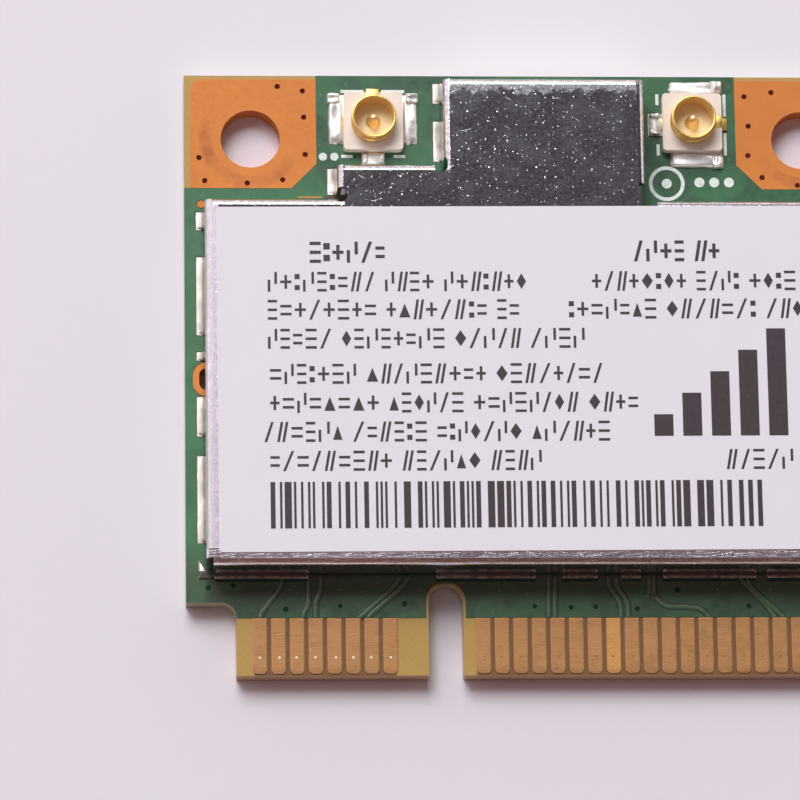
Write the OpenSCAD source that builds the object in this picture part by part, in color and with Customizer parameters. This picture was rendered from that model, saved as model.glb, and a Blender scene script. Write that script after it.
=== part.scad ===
// Half-size mini card with a laptop's wifi radio, lying component side up.
// The origin is under the middle of the card, on the plane that it lies on.
// X runs along the edge contacts, Y from the contacts to the screw end, Z up.

/* [Board] */
// Width of the card along the edge contacts
board_w = 30; // [29.6:0.1:31]
// Length from the tongue's edge to the screw end
board_l = 26.8; // [26.6:0.1:28]
// Thickness over the copper on both sides
board_t = 1; // [0.8:0.05:1.2]
// Thickness of the copper
copper_t = 0.04; // [0.035:0.005:0.05]
// Thickness of the green film
mask_t = 0.03; // [0.02:0.005:0.03]
// Gap between a land and the film round it
mask_gap = 0.05; // [0.03:0.01:0.08]
// Thickness of the white ink
silk_t = 0.02; // [0.01:0.005:0.03]

/* [Tongue] */
// Width of the tongue
tongue_w = 25.7; // [25.6:0.05:26]
// Length of the tongue
tongue_l = 3.2; // [3.1:0.05:3.4]
// Radius between the tongue and the shoulder
shoulder_r = 0.65; // [0.3:0.05:0.8]
// Distance of the key notch from the middle of the card
notch_off = 3.85; // [3.8:0.05:3.9]
// Width of the key notch
notch_w = 1.5; // [1.4:0.05:1.6]
// Depth of the key notch
notch_depth = 4; // [3.8:0.05:4]
// Lead-in at the mouth of the notch
notch_lead = 0.06; // [0.04:0.02:0.3]
// Bare rim round the notch
notch_rim = 0.1; // [0.08:0.02:0.3]

/* [Edge contacts] */
// Pitch of the contacts on one side
contact_pitch = 0.8; // [0.78:0.01:0.8]
// Width of a contact
contact_w = 0.62; // [0.5:0.01:0.66]
// Length of a contact
contact_l = 2.42; // [2.2:0.02:2.5]
// Gap between a contact and the tongue's edge
contact_edge = 0.08; // [0.05:0.01:0.12]
// Contacts on the short side of the notch
contacts_short = 8; // [4:1:8]
// Contacts on the long side of the notch
contacts_long = 18; // [10:1:18]
// From the notch to the first upper contact, short side
first_short = 2.4; // [2.2:0.1:2.5]
// From the notch to the first upper contact, long side
first_long = 1.6; // [1.5:0.1:1.8]
// From the notch to the first lower contact on each side
first_lower = 2; // [1.8:0.1:2.1]

/* [Screw holes] */
// Finished diameter of a screw hole
hole_d = 2.6; // [2.4:0.05:2.7]
// From the screw end, and from the card's sides, to the middle of a hole
hole_in = 2.9; // [2.8:0.05:3]
// Wall of a plated hole
plating_t = 0.04; // [0.03:0.005:0.05]
// Gap between the land and the card's side
land_side = 0.28; // [0.15:0.01:0.35]
// Gap between the land and the screw end
land_end = 0.18; // [0.1:0.01:0.3]
// Width of the bare land
land_w = 5.5; // [5.4:0.05:5.6]
// Length of the bare land
land_l = 4.95; // [4.9:0.05:5]
// Radius of the land's outer corner
land_r = 0.5; // [0.2:0.05:0.8]
// Cut off the land's inner corner
land_cut = 1.1; // [0.8:0.05:1.2]
// Bore of a via in the lands
via_d = 0.24; // [0.2:0.01:0.28]

/* [Shield] */
// Height of the shield above the copper
can_h = 2.1; // [1.9:0.05:2.3]
// Thickness of its sheet
sheet_t = 0.2; // [0.15:0.01:0.22]
// Outer radius of its bends
bend_r = 0.3; // [0.28:0.01:0.35]
// Gap between its side walls and the card's sides
can_side = 0.84; // [0.8:0.01:0.95]
// Gap between its front wall and the shoulder
can_front = 1.23; // [1.1:0.01:1.4]
// Gap between the left land and the wall in front of it
can_left_gap = 1.04; // [1:0.01:1.2]
// Gap between the right land and the wall in front of it
can_right_gap = 1.1; // [1:0.01:1.2]
// Gap between the tower's rear wall and the screw end
tower_end = 0.71; // [0.7:0.01:0.9]
// From the left land to the step behind it
step_gap = 0.81; // [0.7:0.01:0.9]
// Radius of the relief holes at the inner corners
relief_r = 0.28; // [0.22:0.01:0.3]
// Height of the openings between the feet
arch_h = 0.25; // [0.15:0.01:0.35]
// Length of a locating leg
leg_l = 0.7; // [0.5:0.05:0.8]
// Depth of a locating leg below the copper
leg_depth = 0.72; // [0.5:0.02:0.76]
// Place of the legs along the side walls, from the front, as a share of their length
leg_at = 0.5333; // [0.52:0.005:0.545]
// Width of a plated leg slot
slot_w = 0.66; // [0.5:0.02:0.7]
// Room at each end of a leg in its slot
slot_end = 0.15; // [0.1:0.01:0.2]
// Width of the copper ring round a slot
slot_ring = 0.26; // [0.2:0.01:0.28]
// Reach of a shield land outside the wall
pad_out = 0.33; // [0.31:0.01:0.36]
// Reach of a shield land inside the wall's face
pad_in = 0.45; // [0.3:0.01:0.5]
// Foot of a solder fillet
fillet_w = 0.29; // [0.2:0.01:0.3]
// Height of a solder fillet
fillet_h = 0.34; // [0.2:0.01:0.4]

/* [Label] */
// Gap between the label and the shield's sides
label_side = 0.51; // [0.45:0.01:0.8]
// Gap between the label and the front wall
label_front = 0.56; // [0.5:0.01:0.8]
// Gap between the label and the right rear wall
label_rear = 0.31; // [0.3:0.01:0.6]
// Thickness of the label
label_t = 0.08; // [0.05:0.01:0.12]
// Radius of the label's corners
label_r = 0.15; // [0.1:0.05:0.6]
// Turn of the label on the shield
label_turn = 0.25; // [0:0.05:0.4]
// Thickness of the ink on the label
ink_t = 0.015; // [0.01:0.005:0.03]
// Thickness of the dashes in a row of print
ink_row_h = 0.5; // [0.3:0.05:0.7]
// Number of stripes in the striped field
stripe_n = 44; // [20:1:48]

/* [Antenna receptacles] */
// From the screw end to the receptacles' middles
coax_end = 2.2; // [2.15:0.01:2.3]
// From the left land to the left receptacle's middle
coax_left_in = 2.49; // [2.45:0.01:2.55]
// From the right land to the right receptacle's middle
coax_right_in = 1.94; // [1.92:0.01:2]
// From the left receptacle's middle to the tower
coax_left_gap = 2.98; // [2.95:0.01:3.1]
// From the right receptacle's middle to the tower
coax_right_gap = 2.28; // [2.25:0.01:2.35]
// Side of the moulded base
coax_side = 2.6; // [2.5:0.02:2.7]
// Height of the moulded base
coax_base_h = 0.5; // [0.4:0.02:0.6]
// Height of the barrel
coax_h = 1.25; // [1.1:0.05:1.3]
// Outer diameter of the barrel
barrel_d = 1.96; // [1.9:0.02:2]
// Wall of the barrel
barrel_t = 0.12; // [0.1:0.01:0.14]
// Thickness of the stamped feet
strip_t = 0.1; // [0.08:0.01:0.12]
// Diameter of the centre pin
pin_d = 0.38; // [0.3:0.02:0.44]
// Drop of the pin's tip below the barrel's rim
pin_drop = 0.15; // [0.1:0.01:0.3]
// Width of the signal tail
tail_w = 0.5; // [0.4:0.02:0.56]
// Reach of the feet beyond the moulded base
foot_out = 0.5; // [0.4:0.02:0.52]

/* [Inside the shield] */
// Side of the radio chip
radio_side = 8.4; // [8:0.1:8.6]
// Height of the radio chip's body
radio_h = 0.85; // [0.7:0.05:1]
// Height of its terminals
terminal_h = 0.05; // [0.03:0.01:0.08]
// Pitch of its terminals
terminal_pitch = 0.55; // [0.5:0.01:0.56]
// Terminals on each side
terminal_n = 13; // [8:1:13]
// Length of a chip capacitor or resistor
chip_l = 1; // [0.9:0.02:1.04]
// Width of a chip capacitor or resistor
chip_w = 0.5; // [0.4:0.02:0.52]
// Length of each of its tinned ends
chip_end = 0.25; // [0.2:0.01:0.28]
// Height of a chip resistor
resistor_h = 0.35; // [0.3:0.01:0.4]
// Pitch of the rows of chip parts
chip_pitch = 1.6; // [1.5:0.05:1.6]
// Width of the crystal
crystal_w = 3.2; // [2.5:0.1:3.2]
// Length of the crystal
crystal_l = 2.5; // [2:0.1:2.5]
// Height of the crystal's ceramic base
crystal_h = 0.55; // [0.4:0.05:0.7]
// Width of the memory chip
memory_w = 3; // [2:0.1:3]
// Length of the memory chip
memory_l = 2; // [2:0.1:3]
// Height of the memory chip
memory_h = 0.75; // [0.5:0.05:0.9]
// Side of the regulator and of the inductor
regulator_side = 3; // [2:0.1:3]
// Height of the regulator
regulator_h = 0.9; // [0.7:0.05:1]
// Height of the inductor
inductor_h = 1.2; // [1:0.05:1.5]
// Clearance beside the modules in the tower
tower_clear = 0.9; // [0.8:0.05:1.2]
// Length of the modules
module_l = 3; // [2.5:0.1:3.2]
// Height of the modules
module_h = 0.8; // [0.6:0.05:1]
// Width of a filter
balun_w = 2; // [1.6:0.1:2]
// Length of a filter
balun_l = 1.25; // [0.8:0.05:1.25]
// Height of a filter
balun_h = 0.7; // [0.5:0.05:0.9]

/* [Hidden] */
$fn = 64;
// Overlap that lets a cut run clean through a face
cut = 0.1;
// Facets of the smallest round pieces
small_fn = 32;

// Planes of the board's layers
core_z0 = copper_t;
core_z1 = board_t - copper_t;
// Half sizes and main lines of the board
half_w = board_w / 2;
half_l = board_l / 2;
shoulder_y = tongue_l - half_l;
// Line where the film ends on the tongue
mask_y = contact_edge + contact_l + 0.02 - half_l;

// Middle of each screw hole, and lines of the bare lands
hole_x = half_w - hole_in;
hole_y = half_l - hole_in;
land_x1 = half_w - land_side;
land_x0 = land_x1 - land_w;
land_y1 = half_l - land_end;
land_y0 = land_y1 - land_l;
via_wall = 0.03;
// Vias of the two lands from the hole's middle, x towards the card's middle,
// as shares of the land's width and length
vias_left = [
  [0.218, 0.485], [0.418, 0.444], [0.427, 0.202], [0.436, -0.141],
  [0.255, -0.374], [-0.027, -0.404], [-0.364, -0.384], [-0.409, -0.172]
];
vias_right = [
  [0.227, 0.444], [0.445, 0.404], [0.418, 0.131], [0.427, -0.141],
  [0.318, -0.343], [0.036, -0.414], [-0.345, -0.394], [-0.409, -0.182]
];

// Outer planes of the shield's walls
can_x = half_w - can_side;
can_y0 = shoulder_y + can_front;
can_left_y = land_y0 - can_left_gap;
can_right_y = land_y0 - can_right_gap;
coax_y = half_l - coax_end;
tail_reach = coax_side / 2 + foot_out;
// Gap between the left receptacle's signal land and the wall in front of it
tail_gap = 0.61;
can_mid_y = coax_y - tail_reach - tail_gap;
tower_y = half_l - tower_end;
coax_left_x = coax_left_in - land_x0;
coax_right_x = land_x0 - coax_right_in;
tower_x0 = coax_left_x + coax_left_gap;
tower_x1 = coax_right_x - coax_right_gap;
step_x = step_gap - land_x0;
can_top = board_t + can_h;
// Outer corners of the shield, from its front left corner, anticlockwise
corners = [
  [-can_x, can_y0], [can_x, can_y0], [can_x, can_right_y],
  [tower_x1, can_right_y], [tower_x1, tower_y], [tower_x0, tower_y],
  [tower_x0, can_mid_y], [step_x, can_mid_y],
  [step_x, can_left_y], [-can_x, can_left_y]
];
// Heading of each wall, and how much is left off at its start and end. At the rear
// corners one wall laps the other's end, and the relief slots end the walls between them
headings = [0, 90, 180, 90, 180, 270, 180, 270, 180, 270];
lap = 0.05;
butt = bend_r + 0.03;
relief_gap = 0.42;
starts = [bend_r, bend_r, butt, 0.78, butt, lap, relief_gap, lap, -bend_r, lap];
ends = [bend_r, lap, 0.48, lap, butt, 0.33, butt, 0.2, butt, bend_r];
// Relief slots at the inner corners: corner number, x offset, low end, high end
reliefs = [[3, 0.22, -0.07, 0.5], [6, -0.13, -0.07, 0.12], [8, 0.15, 0.13, 0.23]];
// Reach of the top plate beyond its bend line, along the tower's right relief
lip = 0.15;
// Feet of each wall as [start, length] from the wall's first corner, as shares of the wall
left_feet = [[0.004, 0.05], [0.1296, 0.216], [0.3926, 0.0235], [0.516, 0.108], [0.6778, 0.2377]];
feet = [
  [
    [0.0141, 0.1412], [0.3506, 0.1501], [0.5438, 0.0516],
    [0.6331, 0.0282], [0.6967, 0.1412], [0.8559, 0.1271]
  ],
  [for (f = left_feet) [1 - f[0] - f[1], f[1]]],
  [[0.075, 0.3071], [0.4585, 0.3712]],
  [],
  [[0.0571, 0.3429], [0.5257, 0.3886]],
  [[0, 0.14], [0.355, 0.465]],
  [[0.1502, 0.279], [0.5579, 0.3004]],
  [[0, 0.52]],
  [[0.087, 0.3478], [0.5739, 0.31]],
  left_feet
];
// How far a land and its solder run on past the corner where the wall's first foot starts
run_on = [0, 0, 0, 0, 0, 0.4, 0, 0.4, 0, 0];
// Legs of the corner patch, and its reach outside the shield's corner
patch = [0.6, 0.76];
patch_out = [0.3, 0.17];
leg_x = can_x - sheet_t / 2;
leg_mid = can_y0 + leg_at * (can_left_y - can_y0);
slot_l = leg_l + 2 * slot_end;

// Label's lines, size and middle
label_x = can_x - label_side;
label_y0 = can_y0 + label_front;
label_y1 = can_right_y - label_rear;
label_l = label_y1 - label_y0;
label_mid = (label_y0 + label_y1) / 2;
// Rows of print as shares of the label's length and width: drop below the label's
// upper edge, start from its left edge, length of a dash, gap, and number of dashes
ink_rows = [
  [0.1375, 0.1502, 0.033, 0.0092, 3], [0.1375, 0.6667, 0.033, 0.0092, 3],
  [0.2227, 0.0842, 0.0549, 0.011, 7], [0.2227, 0.5971, 0.0513, 0.011, 5],
  [0.3045, 0.0842, 0.0696, 0.0128, 5], [0.3045, 0.5604, 0.0623, 0.011, 5],
  [0.3897, 0.0842, 0.0513, 0.011, 8], [0.4912, 0.0842, 0.0769, 0.011, 6],
  [0.573, 0.0842, 0.0586, 0.011, 8], [0.6582, 0.0769, 0.0733, 0.011, 6],
  [0.7433, 0.0842, 0.0806, 0.011, 5], [0.7433, 0.8022, 0.0403, 0.011, 2]
];
// Striped field and the five rising bars, as shares in the same way
stripe_at = [0.8677, 0.0842];
stripe_size = [0.7766, 0.131];
rise_at = [0.6745, 0.6923];
rise_pitch = 0.0476;
rise_step = 0.0524;

// Middles of the receptacles and their turn
coax_left = [coax_left_x, coax_y, 0];
coax_right = [coax_right_x, coax_y, -90];
// Shift of the side feet away from the signal tail, their length and the well's floor
foot_shift = 0.2;
foot_l = 2.1;
well_floor = 0.3;
strap_w = 0.56;
strap_out = 0.28;

// Places under the shield, as shares of its half width and of its depth from the front
depth = can_right_y - can_y0;
function inside(fx, fy) = [fx * can_x, can_y0 + fy * depth];
radio_at = inside(0.04, 0.49);
crystal_at = inside(-0.7, 0.21);
memory_at = inside(-0.69, 0.785);
regulator_at = inside(0.72, 0.21);
inductor_at = inside(0.72, 0.45);
// Two modules and two filters share the tower's width
tower_w = tower_x1 - tower_x0;
tower_mid = (tower_x0 + tower_x1) / 2;
module_w = (tower_w - 3 * tower_clear) / 2;
module_x = (module_w + tower_clear) / 2;
module_y = tower_y - module_l / 2 - 2 * tower_clear;
filter_y = can_right_y - 0.1 * depth;
// Middle, width, length and height of each
crystal = concat(crystal_at, [crystal_w, crystal_l, crystal_h]);
memory = concat(memory_at, [memory_w, memory_l, memory_h]);
regulator = concat(regulator_at, [regulator_side, regulator_side, regulator_h]);
inductor = concat(inductor_at, [regulator_side, regulator_side, inductor_h]);
modules = [
  for (s = [-1, 1]) [tower_mid + s * module_x, module_y, module_w, module_l, module_h]
];
baluns = [
  for (s = [-1, 1]) [tower_mid + s * module_x, filter_y, balun_w, balun_l, balun_h]
];
// Chip capacitors and resistors: middle and turn
capacitors = [
  for (i = [-2.5 : 2.5]) [-0.375 * can_x, radio_at[1] + i * chip_pitch, 0],
  for (i = [-2.5 : 2.5]) [0.435 * can_x, radio_at[1] + i * chip_pitch, 0],
  for (i = [-2.5 : 2.5]) [radio_at[0] + i * 0.9 * chip_pitch, can_y0 + 0.112 * depth, 90],
  [regulator[0] - regulator_side / 2 - chip_l, regulator[1], 90],
  [regulator[0], inductor[1] + regulator_side / 2 + chip_l, 0]
];
resistors = [
  for (i = [-2 : 2]) [-0.5 * can_x, radio_at[1] + i * 0.75 * chip_pitch, 0],
  for (i = [0 : 3]) [0.6 * can_x, can_y0 + 0.69 * depth + i * 0.55 * chip_pitch, 0]
];
// Lands of a leadless chip: length of each, inset from the chip's edge
chip_pad = 0.5;
// Test lands on the lower side: diameter, pitch, columns and rows
test_d = 0.8;
test_pitch = 2.4;
test_n = [6, 2];

// Length of wall number w between its corners
function wall_l(w) = norm(corners[(w + 1) % len(corners)] - corners[w]);
// Feet of wall w that lie within its ends: start, length, and run-on past the corner
function wall_feet(w) = [
  for (f = feet[w])
    let (
      u0 = max(f[0] * wall_l(w), starts[w], 0),
      u1 = min((f[0] + f[1]) * wall_l(w), wall_l(w) - ends[w])
    )
      if (u1 - u0 > fillet_w / 2) [u0, u1 - u0, f[0] == 0 ? run_on[w] : 0]
];

// Moves its children to the start of wall w: x along it, y into the shield
module at_wall(w) {
  translate([corners[w][0], corners[w][1], 0])
    rotate([0, 0, headings[w]])
      children();
}

// Carries a flat profile, drawn in y and z, along x
module along_x(length) {
  rotate([90, 0, 90])
    linear_extrude(height = length)
      children();
}

// A slot outline with round ends, between two points on the y axis
module slot2d(width, length) {
  square([width, length - width], center = true);
  for (s = [-1, 1])
    translate([0, s * (length - width) / 2])
      circle(d = width, $fn = small_fn);
}

module notch2d(grow) {
  round_r = notch_w / 2 + grow;
  top_y = notch_depth - notch_w / 2 - half_l;
  translate([-notch_off, 0]) {
    translate([-round_r, -half_l - cut])
      square([2 * round_r, top_y + half_l + cut]);
    translate([0, top_y])
      circle(r = round_r);
    lead = round_r + notch_lead;
    polygon([
      [-lead - cut, -half_l - cut], [lead + cut, -half_l - cut],
      [round_r, notch_lead - half_l], [-round_r, notch_lead - half_l]
    ]);
  }
}

module board2d() {
  difference() {
    union() {
      translate([-half_w, shoulder_y])
        square([board_w, board_l - tongue_l]);
      translate([-tongue_w / 2, -half_l])
        square([tongue_w, tongue_l + cut]);
      for (s = [-1, 1])
        difference() {
          translate([s * (tongue_w + shoulder_r) / 2, shoulder_y - shoulder_r / 2])
            square(shoulder_r, center = true);
          translate([s * (tongue_w / 2 + shoulder_r), shoulder_y - shoulder_r])
            circle(r = shoulder_r);
        }
    }
    notch2d(0);
  }
}

// Bare land at a screw hole, drawn for the right side of the card
module land2d() {
  difference() {
    polygon([
      [land_x0, land_y0 + land_cut], [land_x0 + land_cut, land_y0],
      [land_x1, land_y0], [land_x1, land_y1], [land_x0, land_y1]
    ]);
    translate([land_x1 - land_r, land_y1 - land_r])
      difference() {
        square(land_r + cut);
        circle(r = land_r);
      }
  }
}

// The film's opening there, which runs out to the card's edges
module land_window2d() {
  polygon([
    [land_x0, land_y0 + land_cut], [land_x0 + land_cut, land_y0],
    [half_w + cut, land_y0], [half_w + cut, half_l + cut], [land_x0, half_l + cut]
  ]);
}

// Places its children at each via of one land, drawn for the right side
module at_vias(vias) {
  for (v = vias)
    translate([hole_x - v[0] * land_w, hole_y + v[1] * land_l])
      children();
}

// Copper of one screw land: both faces, the hole's barrel and the vias in one piece
module screw_ground(vias) {
  difference() {
    union() {
      linear_extrude(height = copper_t) land2d();
      translate([0, 0, core_z1])
        linear_extrude(height = copper_t) land2d();
      translate([hole_x, hole_y, 0])
        cylinder(d = hole_d + 2 * plating_t, h = board_t);
      at_vias(vias)
        cylinder(d = via_d + 2 * via_wall, h = board_t, $fn = small_fn);
    }
    translate([hole_x, hole_y, -cut])
      cylinder(d = hole_d, h = board_t + 2 * cut);
    at_vias(vias)
      translate([0, 0, -cut])
        cylinder(d = via_d, h = board_t + 2 * cut, $fn = small_fn);
  }
}

// Holes that one screw land's copper fills in the laminate
module ground_holes2d(vias) {
  translate([hole_x, hole_y])
    circle(d = hole_d + 2 * plating_t);
  at_vias(vias)
    circle(d = via_d + 2 * via_wall, $fn = small_fn);
}

module at_legs() {
  for (s = [-1, 1])
    translate([s * leg_x, leg_mid])
      children();
}

module board_core() {
  color([0.72, 0.62, 0.32])
    translate([0, 0, core_z0])
      linear_extrude(height = core_z1 - core_z0)
        difference() {
          board2d();
          ground_holes2d(vias_right);
          mirror([1, 0]) ground_holes2d(vias_left);
          at_legs() slot2d(slot_w + 2 * plating_t, slot_l + 2 * plating_t);
        }
}

// The green film's outline on either side, without the openings for the lands
module mask2d() {
  difference() {
    board2d();
    translate([-half_w - cut, -half_l - cut])
      square([board_w + 2 * cut, mask_y + half_l + cut]);
    notch2d(notch_rim);
    land_window2d();
    mirror([1, 0]) land_window2d();
    at_legs() slot2d(slot_w + 2 * slot_ring + mask_gap, slot_l + 2 * slot_ring + mask_gap);
  }
}

module solder_mask_top() {
  color([0.16, 0.46, 0.30])
    translate([0, 0, core_z1])
      linear_extrude(height = mask_t)
        difference() {
          mask2d();
          shield_pads2d(mask_gap);
          coax_windows2d();
          component_windows2d();
        }
}

module solder_mask_bottom() {
  color([0.16, 0.46, 0.30])
    translate([0, 0, core_z0 - mask_t])
      linear_extrude(height = mask_t)
        difference() {
          mask2d();
          test_pads2d(test_d + 2 * mask_gap);
        }
}

module left_screw_ground() {
  color([0.86, 0.55, 0.29])
    mirror([1, 0, 0])
      screw_ground(vias_left);
}

module right_screw_ground() {
  color([0.86, 0.55, 0.29])
    screw_ground(vias_right);
}

// One row of contacts with round outer ends, on both sides of the notch
module contact_row(gap_short, gap_long) {
  xs = [
    for (i = [0 : contacts_short - 1]) -notch_off - gap_short - i * contact_pitch,
    for (i = [0 : contacts_long - 1]) gap_long - notch_off + i * contact_pitch
  ];
  end_r = 0.2;
  linear_extrude(height = copper_t)
    for (x = xs)
      translate([x, contact_edge - half_l]) {
        translate([-contact_w / 2, end_r])
          square([contact_w, contact_l - end_r]);
        translate([end_r - contact_w / 2, 0])
          square([contact_w - 2 * end_r, end_r]);
        for (s = [-1, 1])
          translate([s * (contact_w / 2 - end_r), end_r])
            circle(r = end_r, $fn = small_fn);
      }
}

module contacts_top() {
  color([0.83, 0.62, 0.36])
    translate([0, 0, core_z1])
      contact_row(first_short, first_long);
}

module contacts_bottom() {
  color([0.83, 0.62, 0.36])
    contact_row(first_lower, first_lower);
}

module leg_slot_plating() {
  color([0.85, 0.52, 0.27])
    at_legs()
      difference() {
        union() {
          linear_extrude(height = copper_t)
            slot2d(slot_w + 2 * slot_ring, slot_l + 2 * slot_ring);
          translate([0, 0, core_z1])
            linear_extrude(height = copper_t)
              slot2d(slot_w + 2 * slot_ring, slot_l + 2 * slot_ring);
          linear_extrude(height = board_t)
            slot2d(slot_w + 2 * plating_t, slot_l + 2 * plating_t);
        }
        translate([0, 0, -cut])
          linear_extrude(height = board_t + 2 * cut)
            slot2d(slot_w, slot_l);
      }
}

// Right-angled soldered patch at the shield's front left corner, grown on all sides
module corner_patch2d(grow) {
  slant = norm(patch);
  translate([-can_x - patch_out.x - grow, can_y0 - patch_out.y - grow])
    polygon([
      [0, 0],
      [patch.x + grow * (1 + (slant + patch.x) / patch.y), 0],
      [0, patch.y + grow * (1 + (slant + patch.y) / patch.x)]
    ]);
}

// Lands under the shield's feet, and the bare dot and the patch by its left corners
module shield_pads2d(grow) {
  for (w = [0 : len(corners) - 1])
    for (f = wall_feet(w))
      translate([corners[w][0], corners[w][1]])
        rotate(headings[w])
          translate([f[0] - f[2] - grow, -pad_out - grow])
            square([f[1] + f[2] + 2 * grow, pad_out + pad_in + 2 * grow]);
  translate([-can_x - 0.12, can_left_y + 0.3])
    circle(r = 0.16 + grow, $fn = small_fn);
  corner_patch2d(grow);
}

module shield_pads() {
  color([0.82, 0.68, 0.46])
    translate([0, 0, core_z1])
      linear_extrude(height = copper_t)
        shield_pads2d(0);
}

// Section of the bend between the top plate and a wall
module bend_section() {
  translate([bend_r, can_top - bend_r])
    intersection() {
      difference() {
        circle(r = bend_r);
        circle(r = bend_r - sheet_t);
      }
      translate([-bend_r - cut, 0])
        square([bend_r + cut, bend_r + cut]);
    }
}

// Section of a wall: the bend, and the leg of sheet below it
module wall_section(foot_z) {
  translate([0, foot_z])
    square([sheet_t, can_top - bend_r - foot_z]);
  bend_section();
}

// One wall with its feet, between the reliefs at its two corners
module wall(w) {
  at_wall(w) {
    translate([starts[w], 0, 0])
      along_x(wall_l(w) - starts[w] - ends[w])
        wall_section(board_t + arch_h);
    for (f = wall_feet(w))
      translate([f[0], 0, board_t])
        cube([f[1], sheet_t, arch_h + cut]);
  }
}

// The top plate, drawn back from the walls by the bend's radius
module plate2d() {
  difference() {
    union() {
      translate([tower_x1 - bend_r - lip, can_right_y - bend_r])
        square([2 * lip, bend_r + starts[3] - lip]);
      polygon([
        for (i = [0 : len(corners) - 1])
          let (
            before = headings[(i + len(corners) - 1) % len(corners)],
            after = headings[i]
          )
            corners[i] + bend_r * ([-sin(before), cos(before)] + [-sin(after), cos(after)])
      ]);
    }
    reliefs2d();
  }
}

module reliefs2d() {
  for (r = reliefs)
    translate(corners[r[0]] + [r[1], (r[2] + r[3]) / 2])
      slot2d(2 * relief_r, r[3] - r[2] + 2 * relief_r);
}

module shield_can() {
  color([0.62, 0.61, 0.63]) {
    difference() {
      union() {
        translate([0, 0, can_top - sheet_t])
          linear_extrude(height = sheet_t)
            plate2d();
        for (w = [0 : len(corners) - 1])
          wall(w);
        // The bend runs on by the tower's left relief, where its leg has ended
        at_wall(5)
          translate([wall_l(5) - ends[5] - lap, 0, 0])
            along_x(ends[5] + lap + bend_r)
              bend_section();
      }
      translate([0, 0, board_t + arch_h])
        linear_extrude(height = can_h)
          reliefs2d();
    }
    at_legs()
      translate([-sheet_t / 2, -leg_l / 2, board_t - leg_depth])
        cube([sheet_t, leg_l, leg_depth + arch_h + cut]);
  }
}

// A hollow fillet against the outside of each foot
module shield_solder() {
  color([0.80, 0.79, 0.77]) {
    for (w = [0 : len(corners) - 1])
      at_wall(w)
        for (f = wall_feet(w))
          translate([f[0] - f[2], 0, board_t])
            along_x(f[1] + f[2])
              polygon([
                [0, 0],
                for (a = [0 : 15 : 90]) [fillet_w * (sin(a) - 1), fillet_h * (1 - cos(a))]
              ]);
    translate([0, 0, board_t])
      linear_extrude(height = 0.09)
        corner_patch2d(-0.02);
  }
}

module at_label() {
  translate([0, label_mid, can_top])
    rotate([0, 0, label_turn])
      children();
}

module shield_label() {
  color([0.90, 0.89, 0.90])
    at_label()
      linear_extrude(height = label_t)
        union() {
          square([2 * label_x, label_l - 2 * label_r], center = true);
          square([2 * label_x - 2 * label_r, label_l], center = true);
          for (sx = [-1, 1])
            for (sy = [-1, 1])
              translate([sx * (label_x - label_r), sy * (label_l / 2 - label_r)])
                circle(r = label_r);
        }
}

// Plain dashes for the rows, even stripes of uneven width, and five rising bars
module label_print() {
  color([0.20, 0.16, 0.18])
    at_label()
      translate([-label_x, label_l / 2, label_t])
        linear_extrude(height = ink_t) {
          w = 2 * label_x;
          for (row = ink_rows)
            for (i = [0 : row[4] - 1])
              translate([(row[1] + i * (row[2] + row[3])) * w, -row[0] * label_l - ink_row_h / 2])
                square([row[2] * w, ink_row_h]);
          pitch = stripe_size[0] * w / stripe_n;
          stripe_h = stripe_size[1] * label_l;
          for (i = [0 : stripe_n - 1])
            translate([stripe_at[1] * w + i * pitch, -stripe_at[0] * label_l - stripe_h / 2])
              square([pitch * (0.3 + 0.15 * ((i * i + 3 * i) % 4)), stripe_h]);
          for (i = [0 : 4])
            translate([(rise_at[1] + i * rise_pitch) * w, -rise_at[0] * label_l])
              square([0.65 * rise_pitch * w, rise_step * label_l * (i + 1)]);
        }
}

module ring2d(r, stroke) {
  difference() {
    circle(r = r + stroke / 2);
    circle(r = r - stroke / 2);
  }
}

// White outline round a receptacle, in the receptacle's own frame
module coax_outline2d() {
  line = 0.14;
  edge = coax_side / 2 + 0.18;
  reach = coax_side / 2 + 0.1;
  for (s = [-1, 1]) {
    translate([s * (reach + strap_w / 2 + 0.1) / 2, edge])
      square([reach - strap_w / 2 - 0.1, line], center = true);
    translate([s * (reach - 0.25), -edge])
      square([0.5, line], center = true);
  }
}

module silkscreen_marks() {
  color([0.90, 0.91, 0.89])
    translate([0, 0, core_z1 + mask_t])
      linear_extrude(height = silk_t) {
        at_coax(coax_left) coax_outline2d();
        at_coax(coax_right) coax_outline2d();
        translate([tower_x1 + 1.14, can_right_y + 1.34]) {
          ring2d(0.71, 0.16);
          circle(r = 0.22);
        }
        for (i = [0 : 2])
          translate([coax_right[0] + 0.3 + 0.65 * i, can_right_y + 1.4])
            circle(r = 0.22);
        for (i = [0 : 1])
          translate([coax_left[0] - 2.2 + 0.5 * i, coax_left[1] - 1.5])
            circle(r = 0.18);
      }
}

// Places its children in a receptacle's frame: signal tail towards -y
module at_coax(place) {
  translate([place[0], place[1], 0])
    rotate([0, 0, place[2]])
      children();
}

module coax_side_pad2d(s) {
  translate([s * (tail_reach + 0.1 + coax_side / 2 - 0.4) / 2, foot_shift])
    square([foot_out + 0.5, foot_l + 0.14], center = true);
}

module coax_tail_pad2d() {
  translate([0, -(tail_reach + 0.1 + coax_side / 2 - 0.3) / 2])
    square([tail_w + 0.5, foot_out + 0.4], center = true);
}

module coax_pads2d() {
  for (s = [-1, 1]) coax_side_pad2d(s);
  coax_tail_pad2d();
}

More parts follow.
